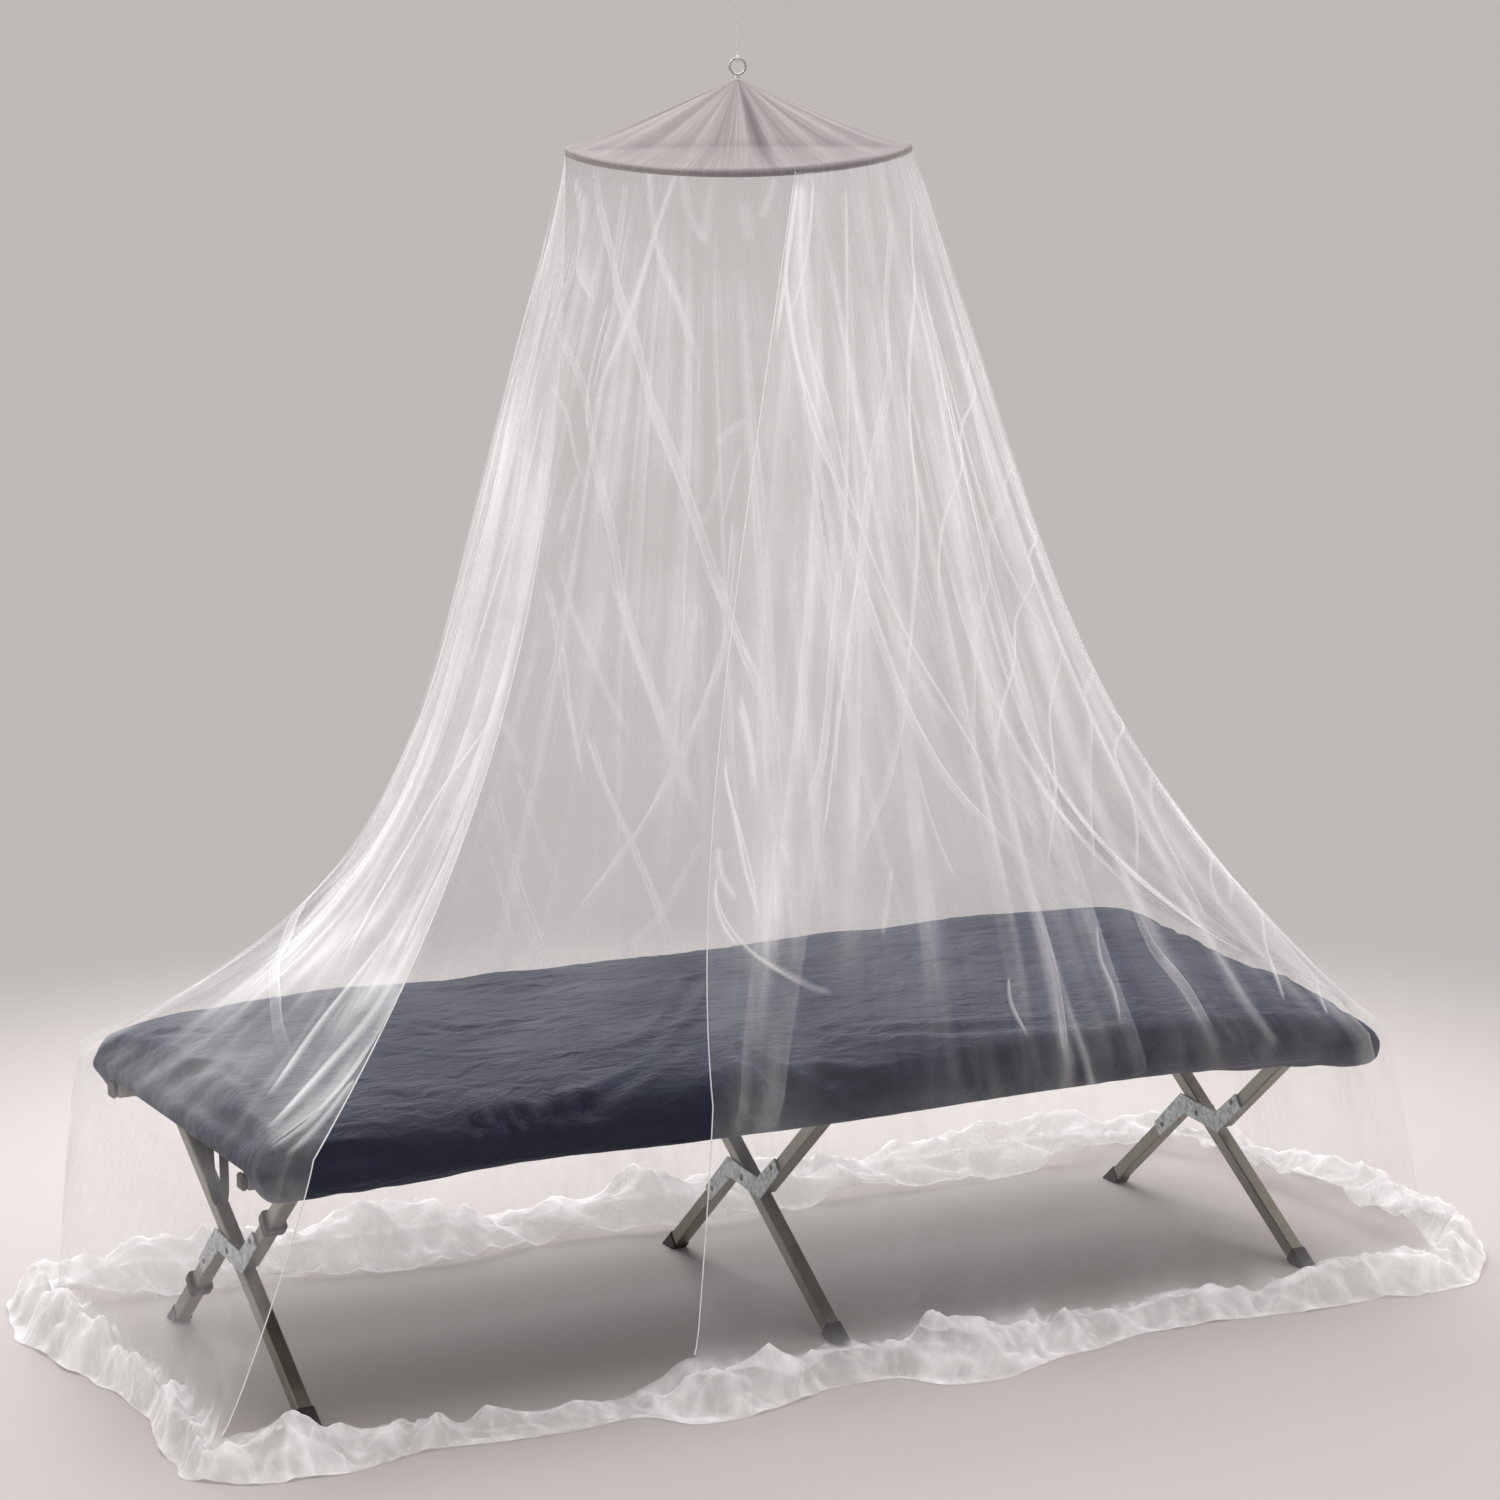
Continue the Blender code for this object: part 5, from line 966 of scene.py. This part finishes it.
def make_roof():
    around, rings = 360, 48
    prof = np.array([(0.0, 0.0), (0.06, 0.055), (0.20, 0.215), (0.38, 0.420), (0.58, 0.640), (0.78, 0.845),
                     (0.93, 0.962), (1.00, 1.0)])
    verts, cover, uvs, dark, light = [], [], [], [], []
    deg = np.arange(around) * 360.0 / around
    # painted shade at the rim, strongest at the front
    front_rim_shade = 0.25 + 0.75 * np.exp(-((deg - 262.0) / 34.0) ** 4)
    for r in range(rings):
        part = max(0.012, r / (rings - 1))
        drop = np.interp(part, prof[:, 0], prof[:, 1])
        edge = hoop_xyz(deg, -0.002, 0.0062)
        a = np.radians(deg)
        fold = 0.0016 * np.sin(a * 12) + 0.0009 * np.sin(a * 23 + 2.0)
        # down gathers painted shade for fold hollows, up painted highlight for fold ridges
        down, up = np.zeros(around), np.zeros(around)
        for at, half, depth in ROOF_FOLDS:
            off = (deg - at + 180.0) % 360.0 - 180.0
            spread = half * (1.0 + 1.6 * (1 - part))
            bell = np.exp(-(off / spread) ** 2)
            if depth < 0:
                down = np.maximum(down, bell * -depth)
            else:
                up = np.maximum(up, bell * depth)
            fold = fold + 0.0030 * depth * bell
        fold = fold * math.sin(math.pi * part) * 1.1
        z = APEX_Z - 0.001 + (edge[:, 2] - APEX_Z + 0.001) * drop + fold
        verts.append(np.stack([edge[:, 0] * part, edge[:, 1] * part, z], -1))
        reach = (1.0 - 0.55 * float(smooth(0.55, 1.0, part))) * (0.35 + 0.65 * float(smooth(0.0, 0.30, part)))
        # painted shade in fold hollows and along the front rim; painted highlight on fold ridges
        dark.append(down * reach + 0.60 * front_rim_shade * float(smooth(0.965, 1.0, part)))
        light.append(up * reach)
        cover.append(np.full(around, 0.90) - 0.10 * smooth(0.3, 0.9, part) + 0.08 * up)
        uvs.append(np.stack([deg / 12.0, np.full(around, part)], -1))
    for k, (out, up) in enumerate(((0.0032, 0.0060), (0.0052, 0.0030), (0.0060, -0.0010), (0.0058, -0.0050))):
        verts.append(hoop_xyz(deg, out, up))
        cover.append(np.full(around, 0.86))
        # the hoop's casing rows: painted shade at the front, painted highlight elsewhere
        dark.append(front_rim_shade * (0.80, 0.20, 0.05, 0.85)[k])
        light.append((1 - front_rim_shade) * 0.5)
        uvs.append(np.stack([deg / 12.0, np.full(around, 1.02)], -1))
    total = len(verts)
    verts = np.concatenate(verts)
    faces = []
    for r in range(total - 1):
        for i in range(around):
            j = (i + 1) % around
            faces.append((r * around + i, (r + 1) * around + i, (r + 1) * around + j, r * around + j))
    obj = add_mesh("roof_cone_cloth", verts + SHIFT, faces, MAT["roof"])
    float_attribute(obj, "cover", np.minimum(np.concatenate(cover), 1.0))
    float_attribute(obj, "dark", np.clip(np.concatenate(dark), 0.0, 1.0))
    float_attribute(obj, "light", np.clip(np.concatenate(light), 0.0, 1.0))
    uv_layer(obj, np.concatenate(uvs))
    return obj


def make_cord():
    start = RING_Z + RING_OUTER / 2 + 0.0050
    route = []
    steps = 10
    for i in range(steps + 1):
        route.append((-0.0021 * float(smooth(0.3, 0.7, i / steps)), 0, start + (CORD_TOP - start) * i / steps))
    r = CORD_LOOP / 2
    cz = CORD_TOP + 0.006 + r
    turns = 12
    lean = math.asin(0.0021 / r) + math.radians(8)
    for i in range(turns + 1):
        a = -math.pi / 2 - lean - (2 * math.pi - 2 * lean) * i / turns
        route.append((r * math.cos(a), 0, cz + r * math.sin(a)))
    route += [(0.0021, 0, CORD_TOP), (0.0021, 0, CORD_TOP - 0.008), (0.0021, 0, CORD_TOP - 0.017)]
    path = spline(route, 120)
    verts, faces = tube(path, CORD_DIA / 2, 12)
    obj = add_mesh("hanging_cord_rope", np.array(verts) + SHIFT, faces, MAT["cord"], 50)
    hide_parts("hanging_cord")
    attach(obj, "root")
    return obj


def make_bindings(grid, left, v):
    wall_rows = ROWS_UP + ROWS_LOW
    out = []
    for name, node, col, side in (("opening_edge_right_tape", "opening_edge_right", 0, (-1, 0, 0)),
                                  ("opening_edge_left_tape", "opening_edge_left", left, (0.243, -0.970, 0))):
        path = grid[col, :wall_rows + 1] + np.array(side) * 0.0022
        path[-1, 2] += 0.004
        verts, faces = tube(path, 0.0010, 8)
        obj = add_mesh(name, np.array(verts) + SHIFT, faces, MAT["binding"])
        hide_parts(node)
        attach(obj, "root")
        out.append(obj)
    return out


def make_pad():
    inner = RAIL_Y + RAIL_SIZE / 2 + 0.0070
    table = [dict(zip(PAD_COLUMNS, r)) for r in PAD]
    xs = np.array([r["x"] for r in table])
    fine_x = np.unique(np.concatenate([np.linspace(-0.968, -0.93, 8), np.linspace(-0.93, 0.91, 230), np.linspace(0.91, 0.954, 10)]))
    cols = {}
    for key in PAD_COLUMNS[1:]:
        vals = np.array([r[key] for r in table])
        dense = spline(np.stack([xs, vals], -1), 400)
        order = np.argsort(dense[:, 0])
        cols[key] = np.interp(fine_x, dense[order, 0], dense[order, 1])
    sections = []
    for i, x in enumerate(fine_x):
        half, side, hang, under, mid = (cols[k][i] for k in ("half", "side", "hang", "under", "mid"))
        def skin(sign, top):
            mixv = lambda a, b, t: a + (b - a) * t
            return [
                (sign * inner, under), (sign * (inner + 0.002), min(under - 0.006, hang + 0.016)),
                (sign * (inner + 0.016), hang), (sign * (half - 0.022), hang + 0.010),
                (sign * (half - 0.004), mixv(hang, side, 0.55)), (sign * half, side),
                (sign * (half - 0.012), mixv(side, top, 0.62)), (sign * (half - 0.050), mixv(side, top, 0.93)),
                (sign * (half - 0.120), mixv(top, mid, 0.30) + 0.003), (sign * (half - 0.220), mixv(top, mid, 0.72) + 0.003),
            ]
        front = skin(-1, cols["front"][i])
        back = skin(1, cols["back"][i])
        loop = front + [(0.0, mid)] + back[::-1]
        fine = spline([(x, y, z) for y, z in loop], 110)
        sections.append(fine)
    sections = np.array(sections)
    m, ring = sections.shape[:2]
    flat = sections.reshape(-1, 3)
    verts = flat.copy()
    faces = []
    for s in range(m - 1):
        for k in range(ring):
            j = (k + 1) % ring
            faces.append((s * ring + k, s * ring + j, (s + 1) * ring + j, (s + 1) * ring + k))
    for base in (0, (m - 1) * ring):
        for k in range(ring // 2 - 1):
            a, b, c, d = base + k, base + k + 1, base + ring - 2 - k, base + ring - 1 - k
            faces.append((a, b, c, d))
    obj = add_mesh("pad_quilt", verts, faces, MAT["pad"])
    work = bmesh.new()
    work.from_mesh(obj.data)
    bmesh.ops.recalc_face_normals(work, faces=work.faces)
    work.to_mesh(obj.data)
    work.free()
    even = obj.modifiers.new("even", "REMESH")
    even.mode = "VOXEL"
    even.voxel_size = 0.0130
    apply_all(obj)
    start = points_of(obj)
    settle(obj, start, inner)
    moved = points_of(obj) - start
    pairs = np.empty(len(obj.data.edges) * 2, np.int32)
    obj.data.edges.foreach_get("vertices", pairs)
    pairs = pairs.reshape(-1, 2)
    count = np.bincount(pairs.ravel(), minlength=len(start))[:, None]
    for _ in range(3):
        total = np.zeros_like(moved)
        np.add.at(total, pairs[:, 0], moved[pairs[:, 1]])
        np.add.at(total, pairs[:, 1], moved[pairs[:, 0]])
        moved = 0.4 * moved + 0.6 * total / np.maximum(count, 1)
    size = np.linalg.norm(moved, axis=1, keepdims=True)
    moved *= np.minimum(1.0, 0.014 / np.maximum(size, 1e-9))
    put_points(obj, start + moved)
    finer = obj.modifiers.new("finer", "SUBSURF")
    finer.levels = 1
    apply_all(obj)
    crease(obj, inner)
    put_points(obj, points_of(obj) + SHIFT)
    obj.data.shade_smooth()
    print("pad triangles", 2 * len(obj.data.polygons))
    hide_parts("pad")
    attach(obj, "root")
    return obj


def points_of(obj):
    out = np.empty(len(obj.data.vertices) * 3)
    obj.data.vertices.foreach_get("co", out)
    return out.reshape(-1, 3)


def put_points(obj, points):
    obj.data.vertices.foreach_set("co", np.asarray(points, float).ravel())
    obj.data.update()


def apply_all(obj):
    """The evaluated mesh takes the place of the mesh and its modifiers."""
    graph = bpy.context.evaluated_depsgraph_get()
    mesh = bpy.data.meshes.new_from_object(obj.evaluated_get(graph), preserve_all_data_layers=True, depsgraph=graph)
    obj.modifiers.clear()
    old = obj.data
    obj.data = mesh
    if not mesh.materials:
        mesh.materials.append(MAT["pad"])
    bpy.data.meshes.remove(old)


def settle(obj, start, inner):
    """Let the filled cloth swell and buckle a little, with its underside held."""
    group = obj.vertex_groups.new(name="held")
    low = np.nonzero((np.abs(start[:, 1]) < inner + 0.012) & (start[:, 2] < 0.410))[0]
    group.add([int(i) for i in low], 1.0, "REPLACE")
    cloth = obj.modifiers.new("cloth", "CLOTH")
    c = cloth.settings
    c.quality = 3
    c.mass = 0.2
    c.tension_stiffness = 12.0
    c.compression_stiffness = 6.0
    c.shear_stiffness = 4.0
    c.bending_stiffness = 0.25
    c.air_damping = 4.0
    c.use_pressure = True
    c.uniform_pressure_force = 4.0
    c.shrink_min = -0.05
    c.vertex_group_mass = "held"
    c.effector_weights.gravity = 0.0
    cloth.collision_settings.use_collision = False
    cloth.collision_settings.use_self_collision = False
    scene = bpy.context.scene
    for frame_number in range(1, 21):
        scene.frame_set(frame_number)
    apply_all(obj)
    scene.frame_set(1)


# Creases of the pad: depth and half width in millimetres, then its points
PAD_CREASES = [
    (9, 16, (-0.04, 0.10, 0.48), (-0.18, -0.11, 0.47), (-0.30, -0.26, 0.46)),
    (13, 14, (-0.22, -0.30, 0.46), (-0.19, -0.41, 0.44), (-0.10, -0.42, 0.40), (-0.02, -0.41, 0.37)),
    (10, 13, (-0.17, -0.21, 0.47), (-0.15, -0.35, 0.46), (-0.09, -0.41, 0.43), (0.02, -0.41, 0.40)),
    (7, 13, (-0.30, -0.31, 0.46), (-0.42, -0.37, 0.45), (-0.50, -0.39, 0.44)),
    (8, 8, (-0.62, -0.32, 0.46), (-0.63, -0.39, 0.45), (-0.62, -0.41, 0.42)),
    (8, 8, (-0.59, -0.33, 0.46), (-0.59, -0.39, 0.45), (-0.58, -0.41, 0.42)),
    (8, 8, (-0.55, -0.33, 0.46), (-0.56, -0.39, 0.45), (-0.54, -0.41, 0.42)),
    (9, 9, (-0.49, -0.32, 0.46), (-0.50, -0.39, 0.45), (-0.48, -0.41, 0.42)),
    (8, 9, (-0.44, -0.32, 0.46), (-0.45, -0.39, 0.45), (-0.43, -0.41, 0.42)),
    (9, 7, (0.04, -0.39, 0.45), (0.05, -0.42, 0.43), (0.06, -0.42, 0.40)),
    (9, 7, (0.07, -0.39, 0.45), (0.08, -0.42, 0.43), (0.09, -0.42, 0.40)),
    (9, 7, (0.10, -0.39, 0.45), (0.11, -0.42, 0.43), (0.13, -0.42, 0.40)),
    (9, 7, (0.14, -0.39, 0.45), (0.15, -0.42, 0.43), (0.17, -0.42, 0.40)),
    (6, 11, (-0.77, -0.17, 0.47), (-0.73, -0.26, 0.46), (-0.67, -0.29, 0.46), (-0.60, -0.29, 0.46)),
    (6, 13, (-0.48, 0.24, 0.48), (-0.38, 0.21, 0.48), (-0.26, 0.20, 0.48), (-0.17, 0.20, 0.48)),
    (6, 14, (-0.57, 0.06, 0.48), (-0.52, -0.02, 0.48), (-0.44, -0.04, 0.48), (-0.34, -0.02, 0.48)),
    (6, 13, (-0.68, -0.03, 0.48), (-0.62, -0.11, 0.47), (-0.55, -0.17, 0.47), (-0.45, -0.18, 0.47)),
    (5, 12, (-0.46, 0.12, 0.48), (-0.42, 0.05, 0.48), (-0.33, 0.05, 0.48)),
    (6, 14, (-0.10, 0.25, 0.48), (-0.09, 0.13, 0.48), (-0.03, 0.15, 0.48)),
    (7, 13, (-0.44, -0.21, 0.47), (-0.35, -0.21, 0.47), (-0.25, -0.17, 0.47), (-0.15, -0.12, 0.48)),
    (6, 14, (0.15, 0.00, 0.48), (0.23, -0.10, 0.48), (0.31, -0.17, 0.47), (0.43, -0.15, 0.48)),
    (8, 15, (-0.03, -0.24, 0.47), (0.08, -0.30, 0.46), (0.22, -0.33, 0.46), (0.39, -0.34, 0.46)),
    (8, 12, (-0.08, -0.37, 0.45), (0.00, -0.40, 0.44), (0.07, -0.41, 0.43)),
    (7, 14, (0.18, -0.40, 0.44), (0.31, -0.40, 0.44), (0.45, -0.40, 0.44), (0.59, -0.40, 0.43)),
    (6, 15, (0.10, 0.20, 0.48), (0.09, 0.03, 0.48), (0.04, -0.20, 0.47)),
    (7, 13, (0.58, -0.07, 0.47), (0.56, -0.22, 0.46), (0.50, -0.40, 0.44)),
    (7, 13, (0.77, 0.00, 0.47), (0.70, -0.25, 0.45), (0.67, -0.40, 0.43)),
    (7, 10, (-0.945, 0.14, 0.45), (-0.945, -0.13, 0.45), (-0.940, -0.34, 0.44)),
    (6, 12, (-0.93, 0.23, 0.46), (-0.90, 0.24, 0.47), (-0.84, 0.16, 0.47)),
    (6, 12, (-0.93, 0.08, 0.46), (-0.89, -0.03, 0.47), (-0.90, -0.25, 0.46)),
    (7, 10, (-0.91, -0.40, 0.43), (-0.82, -0.41, 0.43), (-0.72, -0.41, 0.41)),
    (7, 10, (-0.64, -0.41, 0.41), (-0.53, -0.40, 0.41), (-0.42, -0.40, 0.40)),
    (8, 11, (-0.90, -0.30, 0.46), (-0.92, -0.38, 0.44), (-0.93, -0.41, 0.41)),
    (5, 9, (0.30, 0.12, 0.48), (0.42, 0.02, 0.48), (0.50, -0.02, 0.48)),
    (5, 10, (0.62, 0.22, 0.48), (0.70, 0.12, 0.47), (0.82, 0.08, 0.46)),
    (6, 10, (0.30, -0.40, 0.40), (0.42, -0.41, 0.39), (0.55, -0.40, 0.38)),
    (6, 9, (0.70, -0.39, 0.42), (0.78, -0.40, 0.40), (0.86, -0.39, 0.38)),
]


def crease(obj, inner):
    """Troughs with a soft lip along the listed paths, and fine puckers."""
    mesh = obj.data
    p = points_of(obj)
    normals = np.empty(len(p) * 3)
    mesh.vertices.foreach_get("normal", normals)
    normals = normals.reshape(-1, 3)
    move = np.zeros(len(p))
    for depth, half, *path in PAD_CREASES:
        path = spline(path, 14)
        near = np.full(len(p), 9.0)
        along = np.zeros(len(p))
        for i in range(len(path) - 1):
            a, d = path[i], path[i + 1] - path[i]
            t = np.clip(((p - a) @ d) / max(d @ d, 1e-12), 0, 1)
            dist = np.linalg.norm((p - a - t[:, None] * d) * (1, 1, 0.7), axis=1)
            along = np.where(dist < near, (i + t) / (len(path) - 1), along)
            near = np.minimum(near, dist)
        ends = np.sin(math.pi * np.clip(along, 0.04, 0.96)) ** 0.5
        x = near / (half / 1000.0)
        move += (-np.exp(-x ** 2) + 0.45 * np.exp(-((x - 1.9) / 0.8) ** 2)) * depth / 1000.0 * 1.1 * ends
    free = smooth(0.404, 0.425, p[:, 2]) * 0.7 + 0.3
    free = np.where((np.abs(p[:, 1]) < inner + 0.012) & (p[:, 2] < 0.41), 0.0, free)
    bend = p + 0.05 * np.stack([noise_field(p, 5.0, 11.0), noise_field(p, 5.0, 12.0), np.zeros(len(p))], -1)
    long = 1 - 2.4 * np.abs(noise_field(bend * (0.45, 1.0, 1.0), 15.0, 13.0))
    short = 1 - 2.4 * np.abs(noise_field(bend * (0.8, 1.0, 1.2), 34.0, 14.0))
    move += (long - 0.45) * 0.0017 + (short - 0.45) * 0.0009 + noise_field(p, 5.5, 15.0) * 0.0060
    put_points(obj, p + normals * np.clip(move * free, -0.016, 0.007)[:, None])


def make_deck():
    inner = RAIL_Y + RAIL_SIZE / 2 + 0.0004
    low = RAIL_TOP - 0.020
    base = RAIL_TOP + 0.0013
    outline = [(-inner - 0.001, low), (-inner - 0.001, base), (inner + 0.001, base), (inner + 0.001, low)]
    pts = [(-inner - 0.001, low), (-inner - 0.001, low + 0.010), (-inner - 0.0008, base - 0.001)]
    pts += [(y, base) for y in np.linspace(-inner + 0.003, inner - 0.003, 40)]
    pts += [(inner + 0.0008, base - 0.001), (inner + 0.001, low + 0.010), (inner + 0.001, low)]
    xs = np.linspace(DECK_X[0], DECK_X[1], 90)
    verts, faces = [], []
    for x in xs:
        for y, z in pts:
            verts.append((x, y, z))
    w = len(pts)
    for i in range(len(xs) - 1):
        for k in range(w - 1):
            faces.append((i * w + k, i * w + k + 1, (i + 1) * w + k + 1, (i + 1) * w + k))
    obj = add_mesh("deck_canvas", np.array(verts) + SHIFT, faces, MAT["deck"], 40)
    solid = obj.modifiers.new("thick", "SOLIDIFY")
    solid.thickness = 0.0012
    solid.offset = 0.0
    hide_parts("bed_deck")
    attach(obj, "root")
    return obj


def make_strap():
    x0, wide = -0.904, 0.014
    path = [(0.034, 0.3977), (0.036, 0.345), (0.030, 0.300), (0.010, 0.272), (-0.012, 0.270),
            (-0.028, 0.290), (-0.030, 0.340), (-0.026, 0.3977)]
    fine = spline(path, 60)
    verts, faces = [], []
    cols = 7
    for i, (y, z) in enumerate(fine):
        for k in range(cols):
            s = k / (cols - 1)
            curl = 0.0008 * math.sin(i * 0.23) * (s - 0.5)
            verts.append((x0 + wide * s, y + curl, z))
    for i in range(len(fine) - 1):
        for k in range(cols - 1):
            faces.append((i * cols + k, i * cols + k + 1, (i + 1) * cols + k + 1, (i + 1) * cols + k))
    obj = add_mesh("strap_webbing", np.array(verts) + SHIFT, faces, MAT["strap"])
    solid = obj.modifiers.new("thick", "SOLIDIFY")
    solid.thickness = 0.0016
    solid.offset = 0.0
    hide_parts("deck_strap")
    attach(obj, "root")
    return obj


def paint_cad():
    table = {
        "spreader_hoop": "hoop", "hanging_ring": "ring", "cord_hitch": "cord", "cord_whipping": "cord",
    }
    for name, obj in NODES.items():
        if name.startswith(("leg_a", "leg_b", "side_rail")):
            kind = "alu"
        elif name.startswith("bracket"):
            kind = "zinc"
        elif name.startswith(("foot", "rail_cap", "leg_collar")):
            kind = "plastic"
        else:
            kind = table.get(name)
        if kind:
            obj.data.materials.clear()
            obj.data.materials.append(MAT[kind])


def make_rivets():
    """Riveted heads on the near side of each bracket plate."""
    for k in (1, 2, 3):
        low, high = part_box("bracket_%d" % k)
        verts, faces = [], []
        for y, z, r in ((0.118, 0.145, 0.0046), (0.008, 0.190, 0.0052), (-0.100, 0.233, 0.0046),
                        (0.062, 0.166, 0.0024), (-0.046, 0.214, 0.0024)):
            base = len(verts)
            sides = 14
            for ring, (part, out) in enumerate(((1.0, 0.0), (0.98, 0.0008), (0.70, 0.0016), (0.30, 0.0019))):
                for i in range(sides):
                    a = 2 * math.pi * i / sides
                    verts.append((low.x - out + 0.0001, y + SHIFT[1] + r * part * math.cos(a), z + r * part * math.sin(a)))
                if ring:
                    for i in range(sides):
                        j = (i + 1) % sides
                        faces.append((base + (ring - 1) * sides + i, base + (ring - 1) * sides + j,
                                      base + ring * sides + j, base + ring * sides + i))
            faces.append(tuple(base + 3 * sides + i for i in range(sides)))
        obj = add_mesh("bracket_rivets_%d" % k, verts, faces, MAT["rivet"], 40)
        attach(obj, "root")


def make_stage():
    s = Shader("floor_paper")
    geo = s.add("ShaderNodeNewGeometry").outputs["Position"]
    sep = s.add("ShaderNodeSeparateXYZ", inputs={"Vector": geo})
    r = s.math("SQRT", s.math("ADD", s.math("POWER", sep.outputs["X"], 2.0), s.math("POWER", sep.outputs["Y"], 2.0)))
    far = s.ramp(s.math("DIVIDE", r, 10.0), [(0.130, 0.0), (0.300, 1.0)], "EASE")
    grain = s.noise(s.coord("Object"), 3.0, 3.0, 0.5)
    s.link(s.mix(grain, (0.540, 0.510, 0.501), (0.555, 0.524, 0.515)), s.main.inputs["Base Color"])
    s.main.inputs["Roughness"].default_value = 1.0
    s.main.inputs["Specular IOR Level"].default_value = 0.0
    glow = s.add("ShaderNodeEmission", inputs={"Color": (*BACK, 1), "Strength": 1.0})
    both = s.add("ShaderNodeMixShader")
    s.link(far, both.inputs[0])
    s.link(s.main.outputs[0], both.inputs[1])
    s.link(glow.outputs[0], both.inputs[2])
    s.link(both.outputs[0], s.out.inputs["Surface"])
    verts = [(0, 0, 0)]
    sides = 96
    radius = 16.0
    verts += [(radius * math.cos(2 * math.pi * i / sides), radius * math.sin(2 * math.pi * i / sides), 0) for i in range(sides)]
    faces = [(0, 1 + i, 1 + (i + 1) % sides) for i in range(sides)]
    floor = add_mesh("floor", np.array(verts, float) - (0, 0, 0.0004), faces, s.mat)
    world = bpy.data.worlds.new("studio")
    bpy.context.scene.world = world
    world.use_nodes = True
    bg = world.node_tree.nodes["Background"]
    bg.inputs["Color"].default_value = (*BACK, 1)
    bg.inputs["Strength"].default_value = 1.0


BACK = (0.520, 0.486, 0.478)


def area_light(name, place, target, size, power, colour=(1, 1, 1)):
    data = bpy.data.lights.new(name, "AREA")
    data.shape = "RECTANGLE"
    data.size, data.size_y = size
    data.energy = power
    data.color = colour
    obj = bpy.data.objects.new(name, data)
    bpy.context.scene.collection.objects.link(obj)
    obj.location = Vector(place)
    obj.rotation_mode = "QUATERNION"
    obj.rotation_quaternion = (Vector(target) - Vector(place)).to_track_quat("-Z", "Y")
    return obj


make_camera()
MAT = {
    "net": net_material(),
    "binding": binding_material(),
    "roof": roof_material(),
    "pad": pad_material(),
    "deck": woven_material("deck_weave", (0.030, 0.032, 0.038), (0.075, 0.078, 0.088), 500.0),
    "strap": woven_material("strap_weave", (0.018, 0.018, 0.024), (0.060, 0.060, 0.072), 420.0),
    "cord": woven_material("cord_braid", (0.72, 0.715, 0.71), (0.93, 0.925, 0.92), 600.0, 0.7),
    "hoop": metal_material("hoop_steel", (0.060, 0.048, 0.050), (0.150, 0.125, 0.128), 0.45, "Z", 0.5),
    "ring": metal_material("ring_steel", (0.36, 0.36, 0.365), (0.62, 0.62, 0.625), 0.28, "Z"),
    "alu": metal_material("olive_aluminium", (0.215, 0.205, 0.170), (0.345, 0.335, 0.290), 0.40, "Z", 0.75, 18.0),
    "zinc": zinc_material(),
    "rivet": metal_material("rivet_steel", (0.10, 0.105, 0.11), (0.26, 0.27, 0.275), 0.40, "X", 0.8),
    "plastic": plastic_material(),
}
make_cord()
paint_cad()
net, grid, P, left, v = make_net()
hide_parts("net_skirt")
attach(net, "root")
tapes = make_bindings(grid, left, v)
roof = make_roof()
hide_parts("net_roof")
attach(roof, "root")
make_pad()
make_deck()
make_strap()
make_rivets()
make_stage()
centre = tuple(SHIFT + (0, 0, 0.8))
area_light("softbox", tuple(SHIFT + (0.1, 0.3, 4.6)), tuple(SHIFT + (0, 0.1, 0.0)), (5.0, 4.4), 198.0)
back = area_light("back", tuple(SHIFT + (0.8, 4.4, 3.4)), centre, (3.4, 2.4), 195.0)
back.visible_camera = False
# the threads of a sheer net catch light from all sides: soft lamps that leave the dark pad alone
sheer = bpy.data.collections.new("sheer_cloth")
for piece in (net, *tapes):
    sheer.objects.link(piece)
for name, place, size, power in (("net_front", (-2.4, -4.6, 2.2), (3.4, 2.6), 74.0), ("net_right", (3.6, -2.6, 2.0), (2.6, 2.4), 32.0),
                                 ("net_left", (-4.4, 0.8, 2.0), (2.4, 2.4), 13.0)):
    lamp = area_light(name, tuple(SHIFT + place), centre, size, power)
    lamp.light_linking.receiver_collection = sheer
    lamp.visible_camera = False
scene = bpy.context.scene
scene.view_settings.view_transform = "Standard"
scene.cycles.transparent_max_bounces = 32
